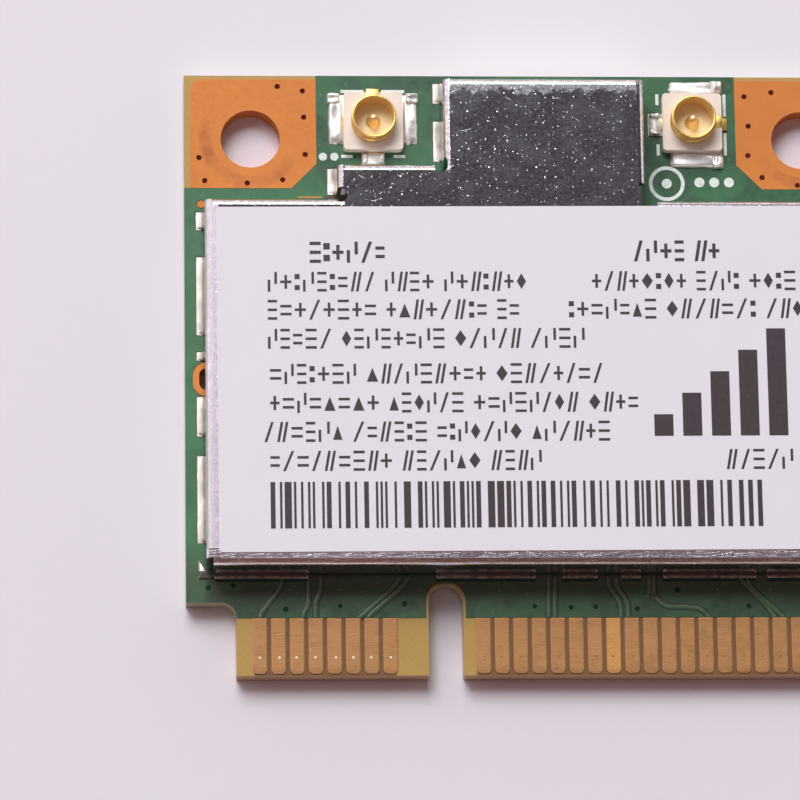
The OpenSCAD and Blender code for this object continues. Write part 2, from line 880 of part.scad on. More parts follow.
// One window in the film under each receptacle and its lands
module coax_windows2d() {
  for (place = [coax_left, coax_right])
    at_coax(place) {
      translate([0, foot_shift])
        square([2 * tail_reach + 0.2 + 2 * mask_gap, foot_l + 0.14 + 2 * mask_gap], center = true);
      translate([0, -(tail_reach + 0.1 + mask_gap) / 2])
        square([tail_w + 0.5 + 2 * mask_gap, tail_reach + 0.1 + mask_gap], center = true);
    }
}

module coax_pads() {
  color([0.82, 0.68, 0.46])
    translate([0, 0, core_z1])
      linear_extrude(height = copper_t) {
        at_coax(coax_left) coax_pads2d();
        at_coax(coax_right) coax_pads2d();
      }
}

// Feet, strap and base ring of the stamped shell
module shell_feet2d() {
  well = barrel_d / 2 - barrel_t;
  difference() {
    union() {
      translate([0, foot_shift])
        square([2 * tail_reach, foot_l], center = true);
      translate([-strap_w / 2, 0])
        square([strap_w, coax_side / 2 + strap_out]);
      circle(d = barrel_d);
    }
    circle(r = well);
    translate([-(tail_w / 2 + 0.2), -tail_reach])
      square([tail_w + 0.4, tail_reach]);
  }
}

// Half section of the barrel: lower ring, waist and rolled rim
module barrel_section() {
  r1 = barrel_d / 2;
  r0 = r1 - barrel_t;
  waist = 0.05;
  rim = 0.3;
  polygon([
    [r0, strip_t], [r1, strip_t], [r1, coax_base_h + 0.16], [r1 - waist, coax_base_h + 0.21],
    [r1 - waist, coax_h - rim], [r1, coax_h - rim + 0.06], [r1, coax_h - 0.06],
    [r1 - 0.02, coax_h - 0.02], [r1 - 0.06, coax_h], [r0 + 0.02, coax_h - 0.02], [r0, coax_h - 0.08]
  ]);
}

module coax_shell() {
  color([0.83, 0.64, 0.32]) {
    linear_extrude(height = strip_t) shell_feet2d();
    rotate_extrude() barrel_section();
  }
}

module coax_contact() {
  r = pin_d / 2;
  tip = coax_h - pin_drop;
  color([0.85, 0.66, 0.33]) {
    linear_extrude(height = strip_t)
      union() {
        circle(r = 0.4, $fn = small_fn);
        translate([-tail_w / 2, -tail_reach + 0.05])
          square([tail_w, tail_reach - 0.05]);
      }
    rotate_extrude($fn = small_fn)
      polygon([
        [0, strip_t / 2], [r + 0.06, strip_t / 2], [r + 0.06, well_floor + 0.05], [r, well_floor + 0.12],
        for (a = [0 : 15 : 90]) [r * cos(a), tip - r + r * sin(a)]
      ]);
  }
}

// Moulded base, cast round the shell and the contact
module coax_housing() {
  corner_r = 0.16;
  inner = coax_side / 2 - corner_r;
  color([0.90, 0.85, 0.80])
    difference() {
      linear_extrude(height = coax_base_h)
        union() {
          square([coax_side, 2 * inner], center = true);
          square([2 * inner, coax_side], center = true);
          for (sx = [-1, 1])
            for (sy = [-1, 1])
              translate([sx * inner, sy * inner])
                circle(r = corner_r, $fn = small_fn);
        }
      translate([0, 0, well_floor])
        cylinder(d = barrel_d - barrel_t, h = coax_h);
      translate([-strap_w / 2, barrel_d / 2 - barrel_t, 0])
        cube([strap_w, coax_side, coax_h]);
      linear_extrude(height = strip_t) shell_feet2d();
      difference() {
        cylinder(d = barrel_d, h = coax_h);
        translate([0, 0, -cut])
          cylinder(d = barrel_d - 2 * barrel_t, h = coax_h + 2 * cut);
        translate([0, 0, -cut])
          cylinder(d = barrel_d + cut, h = strip_t + cut);
      }
      coax_contact();
    }
}

// Solder over one side foot, drawn in x and z outside the moulded base
module foot_solder_section() {
  x0 = coax_side / 2 + 0.03;
  x1 = tail_reach;
  polygon([
    [x0, strip_t], [x1, strip_t], [x1, 0], [x1 + 0.1, 0], [x1 + 0.08, 0.08],
    [x1 + 0.02, 0.17], [x1 - 0.12, 0.24], [x1 - 0.3, 0.22], [x0, 0.13]
  ]);
}

module tail_solder_section() {
  hw = tail_w / 2;
  polygon([
    [-hw - 0.24, 0], [-hw, 0], [-hw, strip_t], [hw, strip_t], [hw, 0], [hw + 0.24, 0],
    [hw + 0.16, 0.16], [hw, 0.26], [0.08, 0.16], [-0.08, 0.16], [-hw, 0.26], [-hw - 0.16, 0.16]
  ]);
}

module coax_solder_set() {
  for (s = [-1, 1])
    translate([0, foot_shift + foot_l / 2, 0])
      rotate([90, 0, 0])
        linear_extrude(height = foot_l)
          mirror([s < 0 ? 1 : 0, 0])
            foot_solder_section();
  translate([0, -coax_side / 2 - 0.03, 0])
    rotate([90, 0, 0])
      linear_extrude(height = foot_out - 0.08)
        tail_solder_section();
}

module coax_solder() {
  color([0.78, 0.76, 0.75])
    translate([0, 0, board_t]) {
      at_coax(coax_left) coax_solder_set();
      at_coax(coax_right) coax_solder_set();
    }
}

module on_board(place) {
  translate([0, 0, board_t])
    at_coax(place)
      children();
}

module left_coax_housing() {
  on_board(coax_left) coax_housing();
}

module left_coax_shell() {
  on_board(coax_left) coax_shell();
}

module left_coax_contact() {
  on_board(coax_left) coax_contact();
}

module right_coax_housing() {
  on_board(coax_right) coax_housing();
}

module right_coax_shell() {
  on_board(coax_right) coax_shell();
}

module right_coax_contact() {
  on_board(coax_right) coax_contact();
}

// A plain block for a piece given as [x, y, width, length, height]
module block(piece, z0) {
  translate([piece[0] - piece[2] / 2, piece[1] - piece[3] / 2, z0])
    cube([piece[2], piece[3], piece[4]]);
}

module radio_chip() {
  dot_r = 0.35;
  color([0.13, 0.13, 0.14])
    difference() {
      translate([radio_at[0] - radio_side / 2, radio_at[1] - radio_side / 2, board_t + terminal_h])
        cube([radio_side, radio_side, radio_h]);
      translate([radio_at[0] - radio_side / 2 + 0.9, radio_at[1] + radio_side / 2 - 0.9, board_t + radio_h])
        cylinder(r = dot_r, h = 1, $fn = small_fn);
    }
}

// Terminals round the chip's edge and the pad in its middle
module terminals2d(grow) {
  paddle = radio_side * 0.62;
  row_l = (terminal_n - 1) * terminal_pitch;
  for (a = [0 : 90 : 270])
    rotate(a)
      for (i = [0 : terminal_n - 1])
        translate([i * terminal_pitch - row_l / 2, radio_side / 2 - chip_pad / 2 - 0.02])
          square([0.3 + 2 * grow, chip_pad + 2 * grow], center = true);
  square(paddle + 2 * grow, center = true);
}

module radio_chip_terminals() {
  color([0.75, 0.74, 0.72])
    translate([radio_at[0], radio_at[1], board_t])
      linear_extrude(height = terminal_h)
        terminals2d(0);
}

module crystal_base() {
  color([0.78, 0.74, 0.66])
    block(crystal, board_t);
}

module crystal_lid() {
  lid_in = 0.2;
  lid_t = 0.15;
  color([0.80, 0.80, 0.82])
    translate([crystal_at[0], crystal_at[1], board_t + crystal_h + lid_t / 2])
      cube([crystal_w - 2 * lid_in, crystal_l - 2 * lid_in, lid_t], center = true);
}

module memory_chip() {
  color([0.14, 0.14, 0.15])
    block(memory, board_t);
}

module supply_regulator() {
  color([0.14, 0.14, 0.15])
    block(regulator, board_t);
}

module power_inductor() {
  color([0.26, 0.25, 0.25])
    difference() {
      block(inductor, board_t);
      for (s = [-1, 1])
        translate([inductor[0], inductor[1] + s * inductor[3] / 2, board_t + 0.25])
          rotate([0, 0, 45])
            translate([-0.3, -0.3, 0])
              cube([0.6, 0.6, inductor[4]]);
    }
}

module front_end_modules() {
  color([0.15, 0.15, 0.16])
    for (m = modules) block(m, board_t);
}

module balun_filters() {
  color([0.85, 0.84, 0.80])
    for (b = baluns) block(b, board_t);
}

module at_chip(place) {
  translate([place[0], place[1], board_t])
    rotate([0, 0, place[2]])
      children();
}

// Bodies of the chip parts, between their tinned ends
module chip_bodies(places, height) {
  for (p = places)
    at_chip(p)
      translate([chip_end - chip_l / 2, 0.01 - chip_w / 2, 0.01])
        cube([chip_l - 2 * chip_end, chip_w - 0.02, height - 0.02]);
}

module chip_ends(places, height) {
  for (p = places)
    at_chip(p)
      for (s = [-1, 1])
        translate([s * (chip_l - chip_end) / 2 - chip_end / 2, -chip_w / 2, 0])
          cube([chip_end, chip_w, height]);
}

module capacitor_bodies() {
  color([0.72, 0.58, 0.42])
    chip_bodies(capacitors, chip_w);
}

module capacitor_ends() {
  color([0.80, 0.80, 0.80])
    chip_ends(capacitors, chip_w);
}

module resistor_bodies() {
  color([0.12, 0.12, 0.13])
    chip_bodies(resistors, resistor_h);
}

module resistor_ends() {
  color([0.80, 0.80, 0.80])
    chip_ends(resistors, resistor_h);
}

// Lands of a block: one strip under each of its two long edges
module block_pads2d(piece) {
  for (s = [-1, 1])
    translate([piece[0] + s * (piece[2] - chip_pad) / 2, piece[1]])
      square([chip_pad, piece[3] - 0.2], center = true);
}

blocks = concat([crystal, memory, regulator, inductor], modules, baluns);

module component_pads() {
  color([0.82, 0.68, 0.46])
    translate([0, 0, core_z1])
      linear_extrude(height = copper_t) {
        translate(radio_at) terminals2d(0.02);
        for (b = blocks) block_pads2d(b);
        for (p = concat(capacitors, resistors))
          translate([p[0], p[1]])
            rotate(p[2])
              for (s = [-1, 1])
                translate([s * (chip_l - chip_end) / 2, 0])
                  square([chip_end + 0.1, chip_w + 0.06], center = true);
      }
}

// One window in the film under each piece
module component_windows2d() {
  translate(radio_at)
    square(radio_side + 0.1, center = true);
  for (b = blocks)
    translate([b[0], b[1]])
      square([b[2] + 0.1, b[3] + 0.1], center = true);
  for (p = concat(capacitors, resistors))
    translate([p[0], p[1]])
      rotate(p[2])
        square([chip_l + 0.2, chip_w + 0.16], center = true);
}

module test_pads2d(d) {
  for (i = [0 : test_n[0] - 1])
    for (j = [0 : test_n[1] - 1])
      translate([(i - (test_n[0] - 1) / 2) * test_pitch, (j + 1.33) * test_pitch])
        circle(d = d, $fn = small_fn);
}

module test_pads_bottom() {
  color([0.82, 0.68, 0.46])
    linear_extrude(height = copper_t)
      test_pads2d(test_d);
}

board_core();
solder_mask_top();
solder_mask_bottom();
left_screw_ground();
right_screw_ground();
contacts_top();
contacts_bottom();
leg_slot_plating();
shield_pads();
shield_can();
shield_solder();
shield_label();
label_print();
silkscreen_marks();
left_coax_housing();
left_coax_shell();
left_coax_contact();
right_coax_housing();
right_coax_shell();
right_coax_contact();
coax_pads();
coax_solder();
radio_chip();
radio_chip_terminals();
crystal_base();
crystal_lid();
memory_chip();
supply_regulator();
power_inductor();
front_end_modules();
balun_filters();
capacitor_bodies();
capacitor_ends();
resistor_bodies();
resistor_ends();
component_pads();
test_pads_bottom();
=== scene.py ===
"""Looks for a half-size laptop wifi card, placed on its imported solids."""

import math

import bmesh
import bpy
import numpy as np
from bpy.props import FloatProperty, FloatVectorProperty, IntProperty, PointerProperty
from bpy.types import Operator, Panel, PropertyGroup
from mathutils import Matrix, Vector


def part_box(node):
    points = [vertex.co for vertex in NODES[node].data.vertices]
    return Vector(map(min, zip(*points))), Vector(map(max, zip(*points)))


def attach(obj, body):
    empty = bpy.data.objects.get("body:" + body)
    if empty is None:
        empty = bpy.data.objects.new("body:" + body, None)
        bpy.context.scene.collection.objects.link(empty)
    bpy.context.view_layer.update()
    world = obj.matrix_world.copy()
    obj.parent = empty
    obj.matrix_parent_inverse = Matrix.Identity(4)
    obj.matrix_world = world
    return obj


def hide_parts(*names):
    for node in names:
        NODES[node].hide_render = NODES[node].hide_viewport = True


bl_info = {
    "name": "Wifi card",
    "version": (1, 0, 0),
    "blender": (4, 5, 0),
    "location": "3D View > Sidebar > Wifi card",
    "description": "Dresses the packed solids of a laptop wifi card with its looks",
    "category": "Object",
}

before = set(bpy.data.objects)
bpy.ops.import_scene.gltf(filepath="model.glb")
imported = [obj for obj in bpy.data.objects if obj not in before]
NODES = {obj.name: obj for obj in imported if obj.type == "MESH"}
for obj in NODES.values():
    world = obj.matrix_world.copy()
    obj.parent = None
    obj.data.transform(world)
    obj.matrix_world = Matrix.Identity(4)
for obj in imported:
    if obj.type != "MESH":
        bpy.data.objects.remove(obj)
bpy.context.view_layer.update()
MM = 0.001


# ---------------------------------------------------------------- values


def from_screen(r, g, b):
    """A colour as it looks on screen, 0 to 255, turned into linear light."""
    c = np.array([r, g, b]) / 255
    return tuple(np.where(c <= 0.04045, c / 12.92, ((c + 0.055) / 1.055) ** 2.4))


def box_mm(node):
    """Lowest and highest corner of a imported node, in millimetres."""
    lo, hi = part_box(node)
    return np.array(lo) / MM, np.array(hi) / MM


def hue(name, text, value):
    return FloatVectorProperty(
        name=name, description=text, subtype="COLOR", size=3, min=0, max=1,
        default=from_screen(*value),
    )


def length(name, text, value_mm):
    return FloatProperty(
        name=name, description=text, default=value_mm * MM, min=0, unit="LENGTH", precision=6
    )


BOARD_HI = box_mm("board_core")[1]
CAN_LO, CAN_HI = box_mm("shield_can")
LABEL_LO, LABEL_HI = box_mm("shield_label")
MASK_TOP = box_mm("solder_mask_top")[1][2]
MASK_END = box_mm("solder_mask_top")[0][1]
FINGERS_LO = box_mm("contacts_top")[0]
BOARD_TOP = box_mm("contacts_top")[1][2]
# Where the shield's rear wall stands in y at its left end, and the two spots of board that
# the relief hole there shows, painted dark brown as the shade under the shield.
CAN_REAR_LEFT = 7.23
RELIEFS = ((-8.38, 7.25), (-8.35, 7.4))
# From the card's sides to the middle of a screw hole.
HOLE_IN = 2.9
# Pitch and width of the contacts, and where resin shows between them: from and to of the
# fade at each end of both rows.
CONTACT_PITCH, CONTACT_W = 0.8, 0.62
CONTACT_ROWS = ((-12.15, -12.05, -5.9, -6.1), (-2.6, -2.5, 11.6, 11.5))


class CardColours(PropertyGroup):
    """Colours of the card's finishes."""

    mask: hue("Solder mask", "Green film over bare laminate", (46, 84, 56))
    mask_pour: hue("Mask on copper", "Green film over copper", (58, 112, 72))
    laminate: hue("Laminate", "Bare glass-fibre board", (184, 148, 73))
    laminate_edge: hue("Cut edge", "Sawn edge of the board", (206, 172, 134))
    copper: hue("Copper lands", "Bare copper round the screw holes", (200, 121, 52))
    copper_worn: hue("Rubbed copper", "Copper where a screw head has rubbed", (168, 96, 48))
    contact: hue("Edge contacts", "Thin gold on the edge contacts", (183, 133, 85))
    gold: hue("Gold plate", "Gold on the receptacles", (240, 200, 118))
    tin: hue("Tinned pads", "Tin on the pads", (214, 210, 204))
    via: hue("Vias", "Filled vias in the copper lands", (84, 20, 8))
    sheet: hue("Shield sheet", "Tinned sheet of the shield", (244, 240, 243))
    solder: hue("Solder", "Bright solder", (248, 244, 238))
    label: hue("Label", "White label film", (228, 224, 230))
    ink: hue("Label ink", "Dark ink on the label", (56, 42, 48))
    white_ink: hue("Board ink", "White ink on the board", (214, 222, 214))
    moulding: hue("Moulded base", "Cream plastic of the receptacles", (236, 222, 208))
    chip: hue("Chip", "Black chip bodies", (34, 34, 36))
    paper: hue("Table", "Pale table that the card lies on", (229, 224, 230))


class CardSizes(PropertyGroup):
    """Sizes of the detail that the looks add to the solids."""

    track_w: length("Track width", "Width of a copper track under the mask", 0.16)
    track_h: length("Track height", "Rise of the mask over a track", 0.011)
    track_gap: length("Track gap", "Bare laminate on each side of a track", 0.08)
    print_h: length("Print height", "Thickness of the ink on the label", 0.012)
    bead_w: length("Bead width", "Foot of a solder bead along the shield", 0.34)
    bead_h: length("Bead height", "Height of a solder bead along the shield", 0.5)
    mark_w: length("Mark stroke", "Stroke of the marks in a row of print", 0.11)
    seed: IntProperty(name="Seed", description="Seed of the irregular detail", default=7, min=0)


class CardStage(PropertyGroup):
    """Camera, lamps and table."""

    lens: FloatProperty(
        name="Lens", description="Focal length", default=260.59 * MM, min=0.02, unit="CAMERA"
    )
    key_power: FloatProperty(
        name="Key lamp", description="Power of the soft box", default=4.6, min=0, unit="POWER"
    )
    key_side: length("Key size", "Side of the soft box", 410)
    key_far: length("Key distance", "From the card to the soft box", 750)
    sky: FloatProperty(
        name="Overhead", description="Strength of the world overhead", default=0.085, min=0
    )
    horizon: FloatProperty(
        name="Horizon", description="Strength of the world low down behind the card",
        default=1.25, min=0,
    )
    front: FloatProperty(
        name="Front", description="Strength of the world high up before the card",
        default=0.47, min=0,
    )


# ---------------------------------------------------------------- meshes


def make_piece(name, shape, key, smooth, stands_for=None):
    """A new piece from its points in millimetres and its faces.

    Doubles are merged and the faces turned outwards. Edges sharper than the angle in
    smooth stay sharp, and with None all faces are flat."""
    points, faces = shape
    mesh = bpy.data.meshes.new(name)
    mesh.from_pydata((points * MM).tolist(), [], faces)
    tidy_mesh(mesh, smooth)
    link_piece(name, mesh, key, stands_for)


def formed_copy(node, key, smooth):
    """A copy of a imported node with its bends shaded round. It stands for the node."""
    mesh = NODES[node].data.copy()
    mesh.materials.clear()
    tidy_mesh(mesh, smooth, turn=False)
    piece = link_piece(node + "_formed", mesh, key, node)
    even = piece.modifiers.new("even_light", "WEIGHTED_NORMAL")
    even.keep_sharp = True
    even.weight = 100


def link_piece(name, mesh, key, stands_for):
    """Puts a mesh in the scene with its finish, its body, and the node it stands for."""
    mesh.materials.append(FINISH[key])
    piece = bpy.data.objects.new(name, mesh)
    bpy.context.scene.collection.objects.link(piece)
    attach(piece, "root")
    if stands_for:
        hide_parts(stands_for)
    return piece


def tidy_mesh(mesh, smooth, turn=True):
    """Merges doubles, turns the faces outwards, and marks the edges that stay sharp."""
    bm = bmesh.new()
    bm.from_mesh(mesh)
    bmesh.ops.remove_doubles(bm, verts=bm.verts, dist=2e-8)
    bmesh.ops.dissolve_degenerate(bm, edges=bm.edges, dist=1e-9)
    if turn:
        bmesh.ops.recalc_face_normals(bm, faces=bm.faces)
    for f in bm.faces:
        f.smooth = smooth is not None
    if smooth is not None:
        for e in bm.edges:
            e.smooth = len(e.link_faces) == 2 and e.calc_face_angle(3.2) < math.radians(smooth)
    bm.to_mesh(mesh)
    bm.free()


def grid_faces(nu, nv, close_u=False, close_v=False):
    """Quads of a grid of nu by nv points, row by row, joined round where it is closed."""
    iu = np.arange(nu if close_u else nu - 1)
    iv = np.arange(nv if close_v else nv - 1)
    u, v = (a.ravel() for a in np.meshgrid(iu, iv, indexing="ij"))
    u1, v1 = (u + 1) % nu, (v + 1) % nv
    return np.stack([u * nv + v, u * nv + v1, u1 * nv + v1, u1 * nv + v], 1)


def merge(*shapes):
    """Points and faces of several shapes as one."""
    points, faces, start = [], [], 0
    for more, more_faces in shapes:
        points.append(more)
        faces += (np.asarray(more_faces) + start).tolist()
        start += len(more)
    return np.concatenate(points), faces


def join_grids(grids, close_u=False, close_v=True):
    """Points and faces of several grids of the same kind as one shape."""
    return merge(*(
        (g.reshape(-1, 3), grid_faces(*g.shape[:2], close_u, close_v)) for g in grids
    ))


def lathe(profile, centre, steps=128):
    """Surface of revolution about z.

    A point of the profile at radius r and height z goes to centre plus
    (r cos t, r sin t, z), for t all the way round."""
    r, z = np.asarray(profile, float).T[:, :, None]
    t = np.linspace(0, 2 * math.pi, steps, endpoint=False)
    grid = np.stack([r * np.cos(t), r * np.sin(t), z + 0 * t], -1)
    return grid + np.asarray(centre, float)


def round_corners(points, radius, steps=5):
    """Cuts each corner of an open line by an arc.

    For t from 0 to 1, the arc is (1 - t)^2 p + 2 t (1 - t) c + t^2 q, from p at the
    radius before the corner c to q at the radius after it."""
    points = np.asarray(points, float)
    out = [points[0]]
    for before, here, after in zip(points[:-2], points[1:-1], points[2:]):
        a, b = before - here, after - here
        la, lb = np.linalg.norm(a), np.linalg.norm(b)
        r = min(radius, la / 2, lb / 2)
        p, q = here + a / la * r, here + b / lb * r
        t = np.linspace(0, 1, steps)[:, None]
        out.extend((1 - t) ** 2 * p + 2 * t * (1 - t) * here + t**2 * q)
    out.append(points[-1])
    return np.array(out)


def carry(path, widths, heights, base, section=9, sink=0.006):
    """A closed ridge carried along a flat path.

    At each point of the path, the section is the upper half of an ellipse, as wide as
    widths and as high as heights, closed by a flat bottom a little below the base."""
    path = np.asarray(path, float)
    step = np.gradient(path, axis=0)
    step /= np.linalg.norm(step, axis=1)[:, None]
    side = np.stack([-step[:, 1], step[:, 0]], 1)
    a = np.linspace(0, math.pi, section)
    across = np.concatenate([np.cos(a), [-1, 1]])
    up = np.concatenate([np.sin(a), [0, 0]])
    low = np.concatenate([np.zeros(section), [1, 1]])
    w = np.broadcast_to(widths, len(path))[:, None] / 2
    h = np.broadcast_to(heights, len(path))[:, None]
    xy = path[:, None, :] + side[:, None, :] * (w * across)[..., None]
    z = base + h * up - sink * low
    return np.concatenate([xy, z[..., None]], -1)


def capped(grid):
    """Closes both ends of a closed tube by drawing its end rings to their middles."""
    first = np.broadcast_to(grid[0].mean(0), grid[0].shape)[None]
    last = np.broadcast_to(grid[-1].mean(0), grid[-1].shape)[None]
    return np.concatenate([first, grid, last])


def wobble(t, rng, waves):
    """A smooth irregular value along t: the sum over k of sin(2 pi (0.73 k t + phase))
    over k^0.7, with seeded phases."""
    t = np.asarray(t, float)
    total = np.zeros_like(t)
    for k in range(1, waves + 1):
        total += np.sin(2 * math.pi * (k * 0.73 * t + rng.random())) / k**0.7
    return total / 1.8


def prisms(quads, z0, z1):
    """Upright prisms from rows of four corners: each gets its eight points at once."""
    q = np.asarray(quads, float).reshape(-1, 4, 2)
    n = len(q)
    low = np.concatenate([q, np.full((n, 4, 1), z0)], 2)
    high = np.concatenate([q, np.full((n, 4, 1), z1)], 2)
    points = np.concatenate([low, high], 1).reshape(-1, 3)
    ends = [[0, 3, 2, 1], [4, 5, 6, 7]]
    sides = [[0, 1, 5, 4], [1, 2, 6, 5], [2, 3, 7, 6], [3, 0, 4, 7]]
    faces = (np.array(ends + sides) + 8 * np.arange(n)[:, None, None]).reshape(-1, 4)
    return points, faces.tolist()


def oblong(x0, y0, x1, y1):
    """The four corners of an upright rectangle."""
    return [(x0, y0), (x1, y0), (x1, y1), (x0, y1)]


def linked_parts(verts, neighbours):
    """The points of each part of a mesh that hangs together, in millimetres."""
    parts, seen = [], set()
    for first in verts:
        stack, part = [first], []
        while stack:
            v = stack.pop()
            if v not in seen:
                seen.add(v)
                part.append(v.co)
                stack += neighbours(v)
        if part:
            parts.append(np.array(part) / MM)
    return parts


def small_holes(node, z, widest):
    """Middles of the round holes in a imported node's face at height z, in millimetres."""
    bm = bmesh.new()
    bm.from_mesh(NODES[node].data)
    bmesh.ops.remove_doubles(bm, verts=bm.verts, dist=1e-7)
    beside = {}
    for e in bm.edges:
        level = all(abs(v.co.z / MM - z) < 1e-3 for v in e.verts)
        if level and len(e.link_faces) == 2 and e.calc_face_angle(0) > 1:
            for v in e.verts:
                beside.setdefault(v, []).append(e.other_vert(v))
    rings = linked_parts(beside, beside.get)
    bm.free()
    small = [ring for ring in rings if np.ptp(ring[:, :2], axis=0).max() < widest]
    return [(ring.min(0) + ring.max(0))[:2] / 2 for ring in small]


# ---------------------------------------------------------------- materials


class Wire:
    """A value in a node tree. Sums, products and comparisons of it add Math nodes."""

    def __init__(self, recipe, socket):
        self.recipe, self.socket = recipe, socket

    def __add__(self, other):
        return self.recipe.math("ADD", self, other)

    def __sub__(self, other):
        return self.recipe.math("SUBTRACT", self, other)

    def __rsub__(self, other):
        return self.recipe.math("SUBTRACT", other, self)

    def __mul__(self, other):
        return self.recipe.math("MULTIPLY", self, other)

    def __truediv__(self, other):
        return self.recipe.math("DIVIDE", self, other)

    def __rtruediv__(self, other):
        return self.recipe.math("DIVIDE", other, self)

    def __lt__(self, other):
        return self.recipe.math("LESS_THAN", self, other)

    def __gt__(self, other):
        return self.recipe.math("GREATER_THAN", self, other)

    def __abs__(self):
        return self.recipe.math("ABSOLUTE", self)


def clamp(wire):
    """Holds a sum or a product between 0 and 1."""
    wire.socket.node.use_clamp = True
    return wire


class Recipe:
    """Adds nodes to one material, group or world, and joins them."""

    def __init__(self, tree):
        self.tree = tree

    def put(self, socket, value):
        """Links a socket, or sets a plain value."""
        if isinstance(value, Wire):
            self.tree.links.new(value.socket, socket)
        elif value is not None:
            socket.default_value = value

    def add(self, kind, inputs=(), **settings):
        """A new node. Its inputs come in their order, or by name or number."""
        node = self.tree.nodes.new(kind)
        for key, value in settings.items():
            setattr(node, key, value)
        for key, value in inputs.items() if isinstance(inputs, dict) else enumerate(inputs):
            self.put(node.inputs[key], value)
        return node

    def feed(self, kind, inputs=(), output=0, **settings):
        """One output of a new node."""
        return Wire(self, self.add(kind, inputs, **settings).outputs[output])

    def math(self, operation, *values):
        return self.feed("ShaderNodeMath", values, operation=operation)

    def root_of_squares(self, a, b):
        return self.math("SQRT", a * a + b * b)

    def scale(self, vector, factor):
        inputs = {0: vector, "Scale": factor}
        return self.feed("ShaderNodeVectorMath", inputs, operation="SCALE")

    def distance(self, a, b):
        return self.feed("ShaderNodeVectorMath", (a, b), "Value", operation="DISTANCE")

    def join(self, *values):
        return self.feed("ShaderNodeCombineXYZ", values)

    def split(self, vector):
        node = self.add("ShaderNodeSeparateXYZ", [vector])
        return [Wire(self, output) for output in node.outputs]

    def fit(self, value, a, b, c=0.0, d=1.0, smooth=True):
        """Maps a to b onto c to d."""
        kind = "SMOOTHSTEP" if smooth else "LINEAR"
        return self.feed("ShaderNodeMapRange", (value, a, b, c, d), interpolation_type=kind)

    def mix(self, share, a, b):
        """Colour a, passed into colour b by the share."""
        a, b = (v if isinstance(v, Wire) else (*v[:3], 1.0) for v in (a, b))
        return self.feed("ShaderNodeMix", {"Factor": share, 6: a, 7: b}, 2, data_type="RGBA")

    def bump(self, height, strength, distance_mm, normal=None):
        inputs = {"Strength": strength, "Distance": distance_mm * MM, "Height": height}
        return self.feed("ShaderNodeBump", {**inputs, "Normal": normal})

    def on_wall(self):
        """1 on upright faces, 0 on level ones."""
        normal = self.feed("ShaderNodeNewGeometry", output="True Normal")
        return abs(self.split(normal)[2]) < 0.5

    def group(self, name, *inputs):
        """The value of one of the shared effects."""
        return self.feed("ShaderNodeGroup", inputs, node_tree=bpy.data.node_groups[name])

    def clouds(self, *inputs):
        return self.group("clouds", *inputs)

    def specks(self, *inputs):
        return self.group("specks", *inputs)

    def scuffs(self, *inputs):
        return self.group("scuffs", *inputs)


def new_group(name, result, **numbers):
    """An empty shader group: a place and some numbers go in, and one number comes out."""
    tree = bpy.data.node_groups.new(name, "ShaderNodeTree")
    tree.interface.new_socket("Place", in_out="INPUT", socket_type="NodeSocketVector")
    for label, default in numbers.items():
        socket = tree.interface.new_socket(label, in_out="INPUT", socket_type="NodeSocketFloat")
        socket.default_value = default
    tree.interface.new_socket(result, in_out="OUTPUT", socket_type="NodeSocketFloat")
    r = Recipe(tree)
    given = {output.name: Wire(r, output) for output in r.add("NodeGroupInput").outputs}
    return r, given, r.add("NodeGroupOutput").inputs[0]


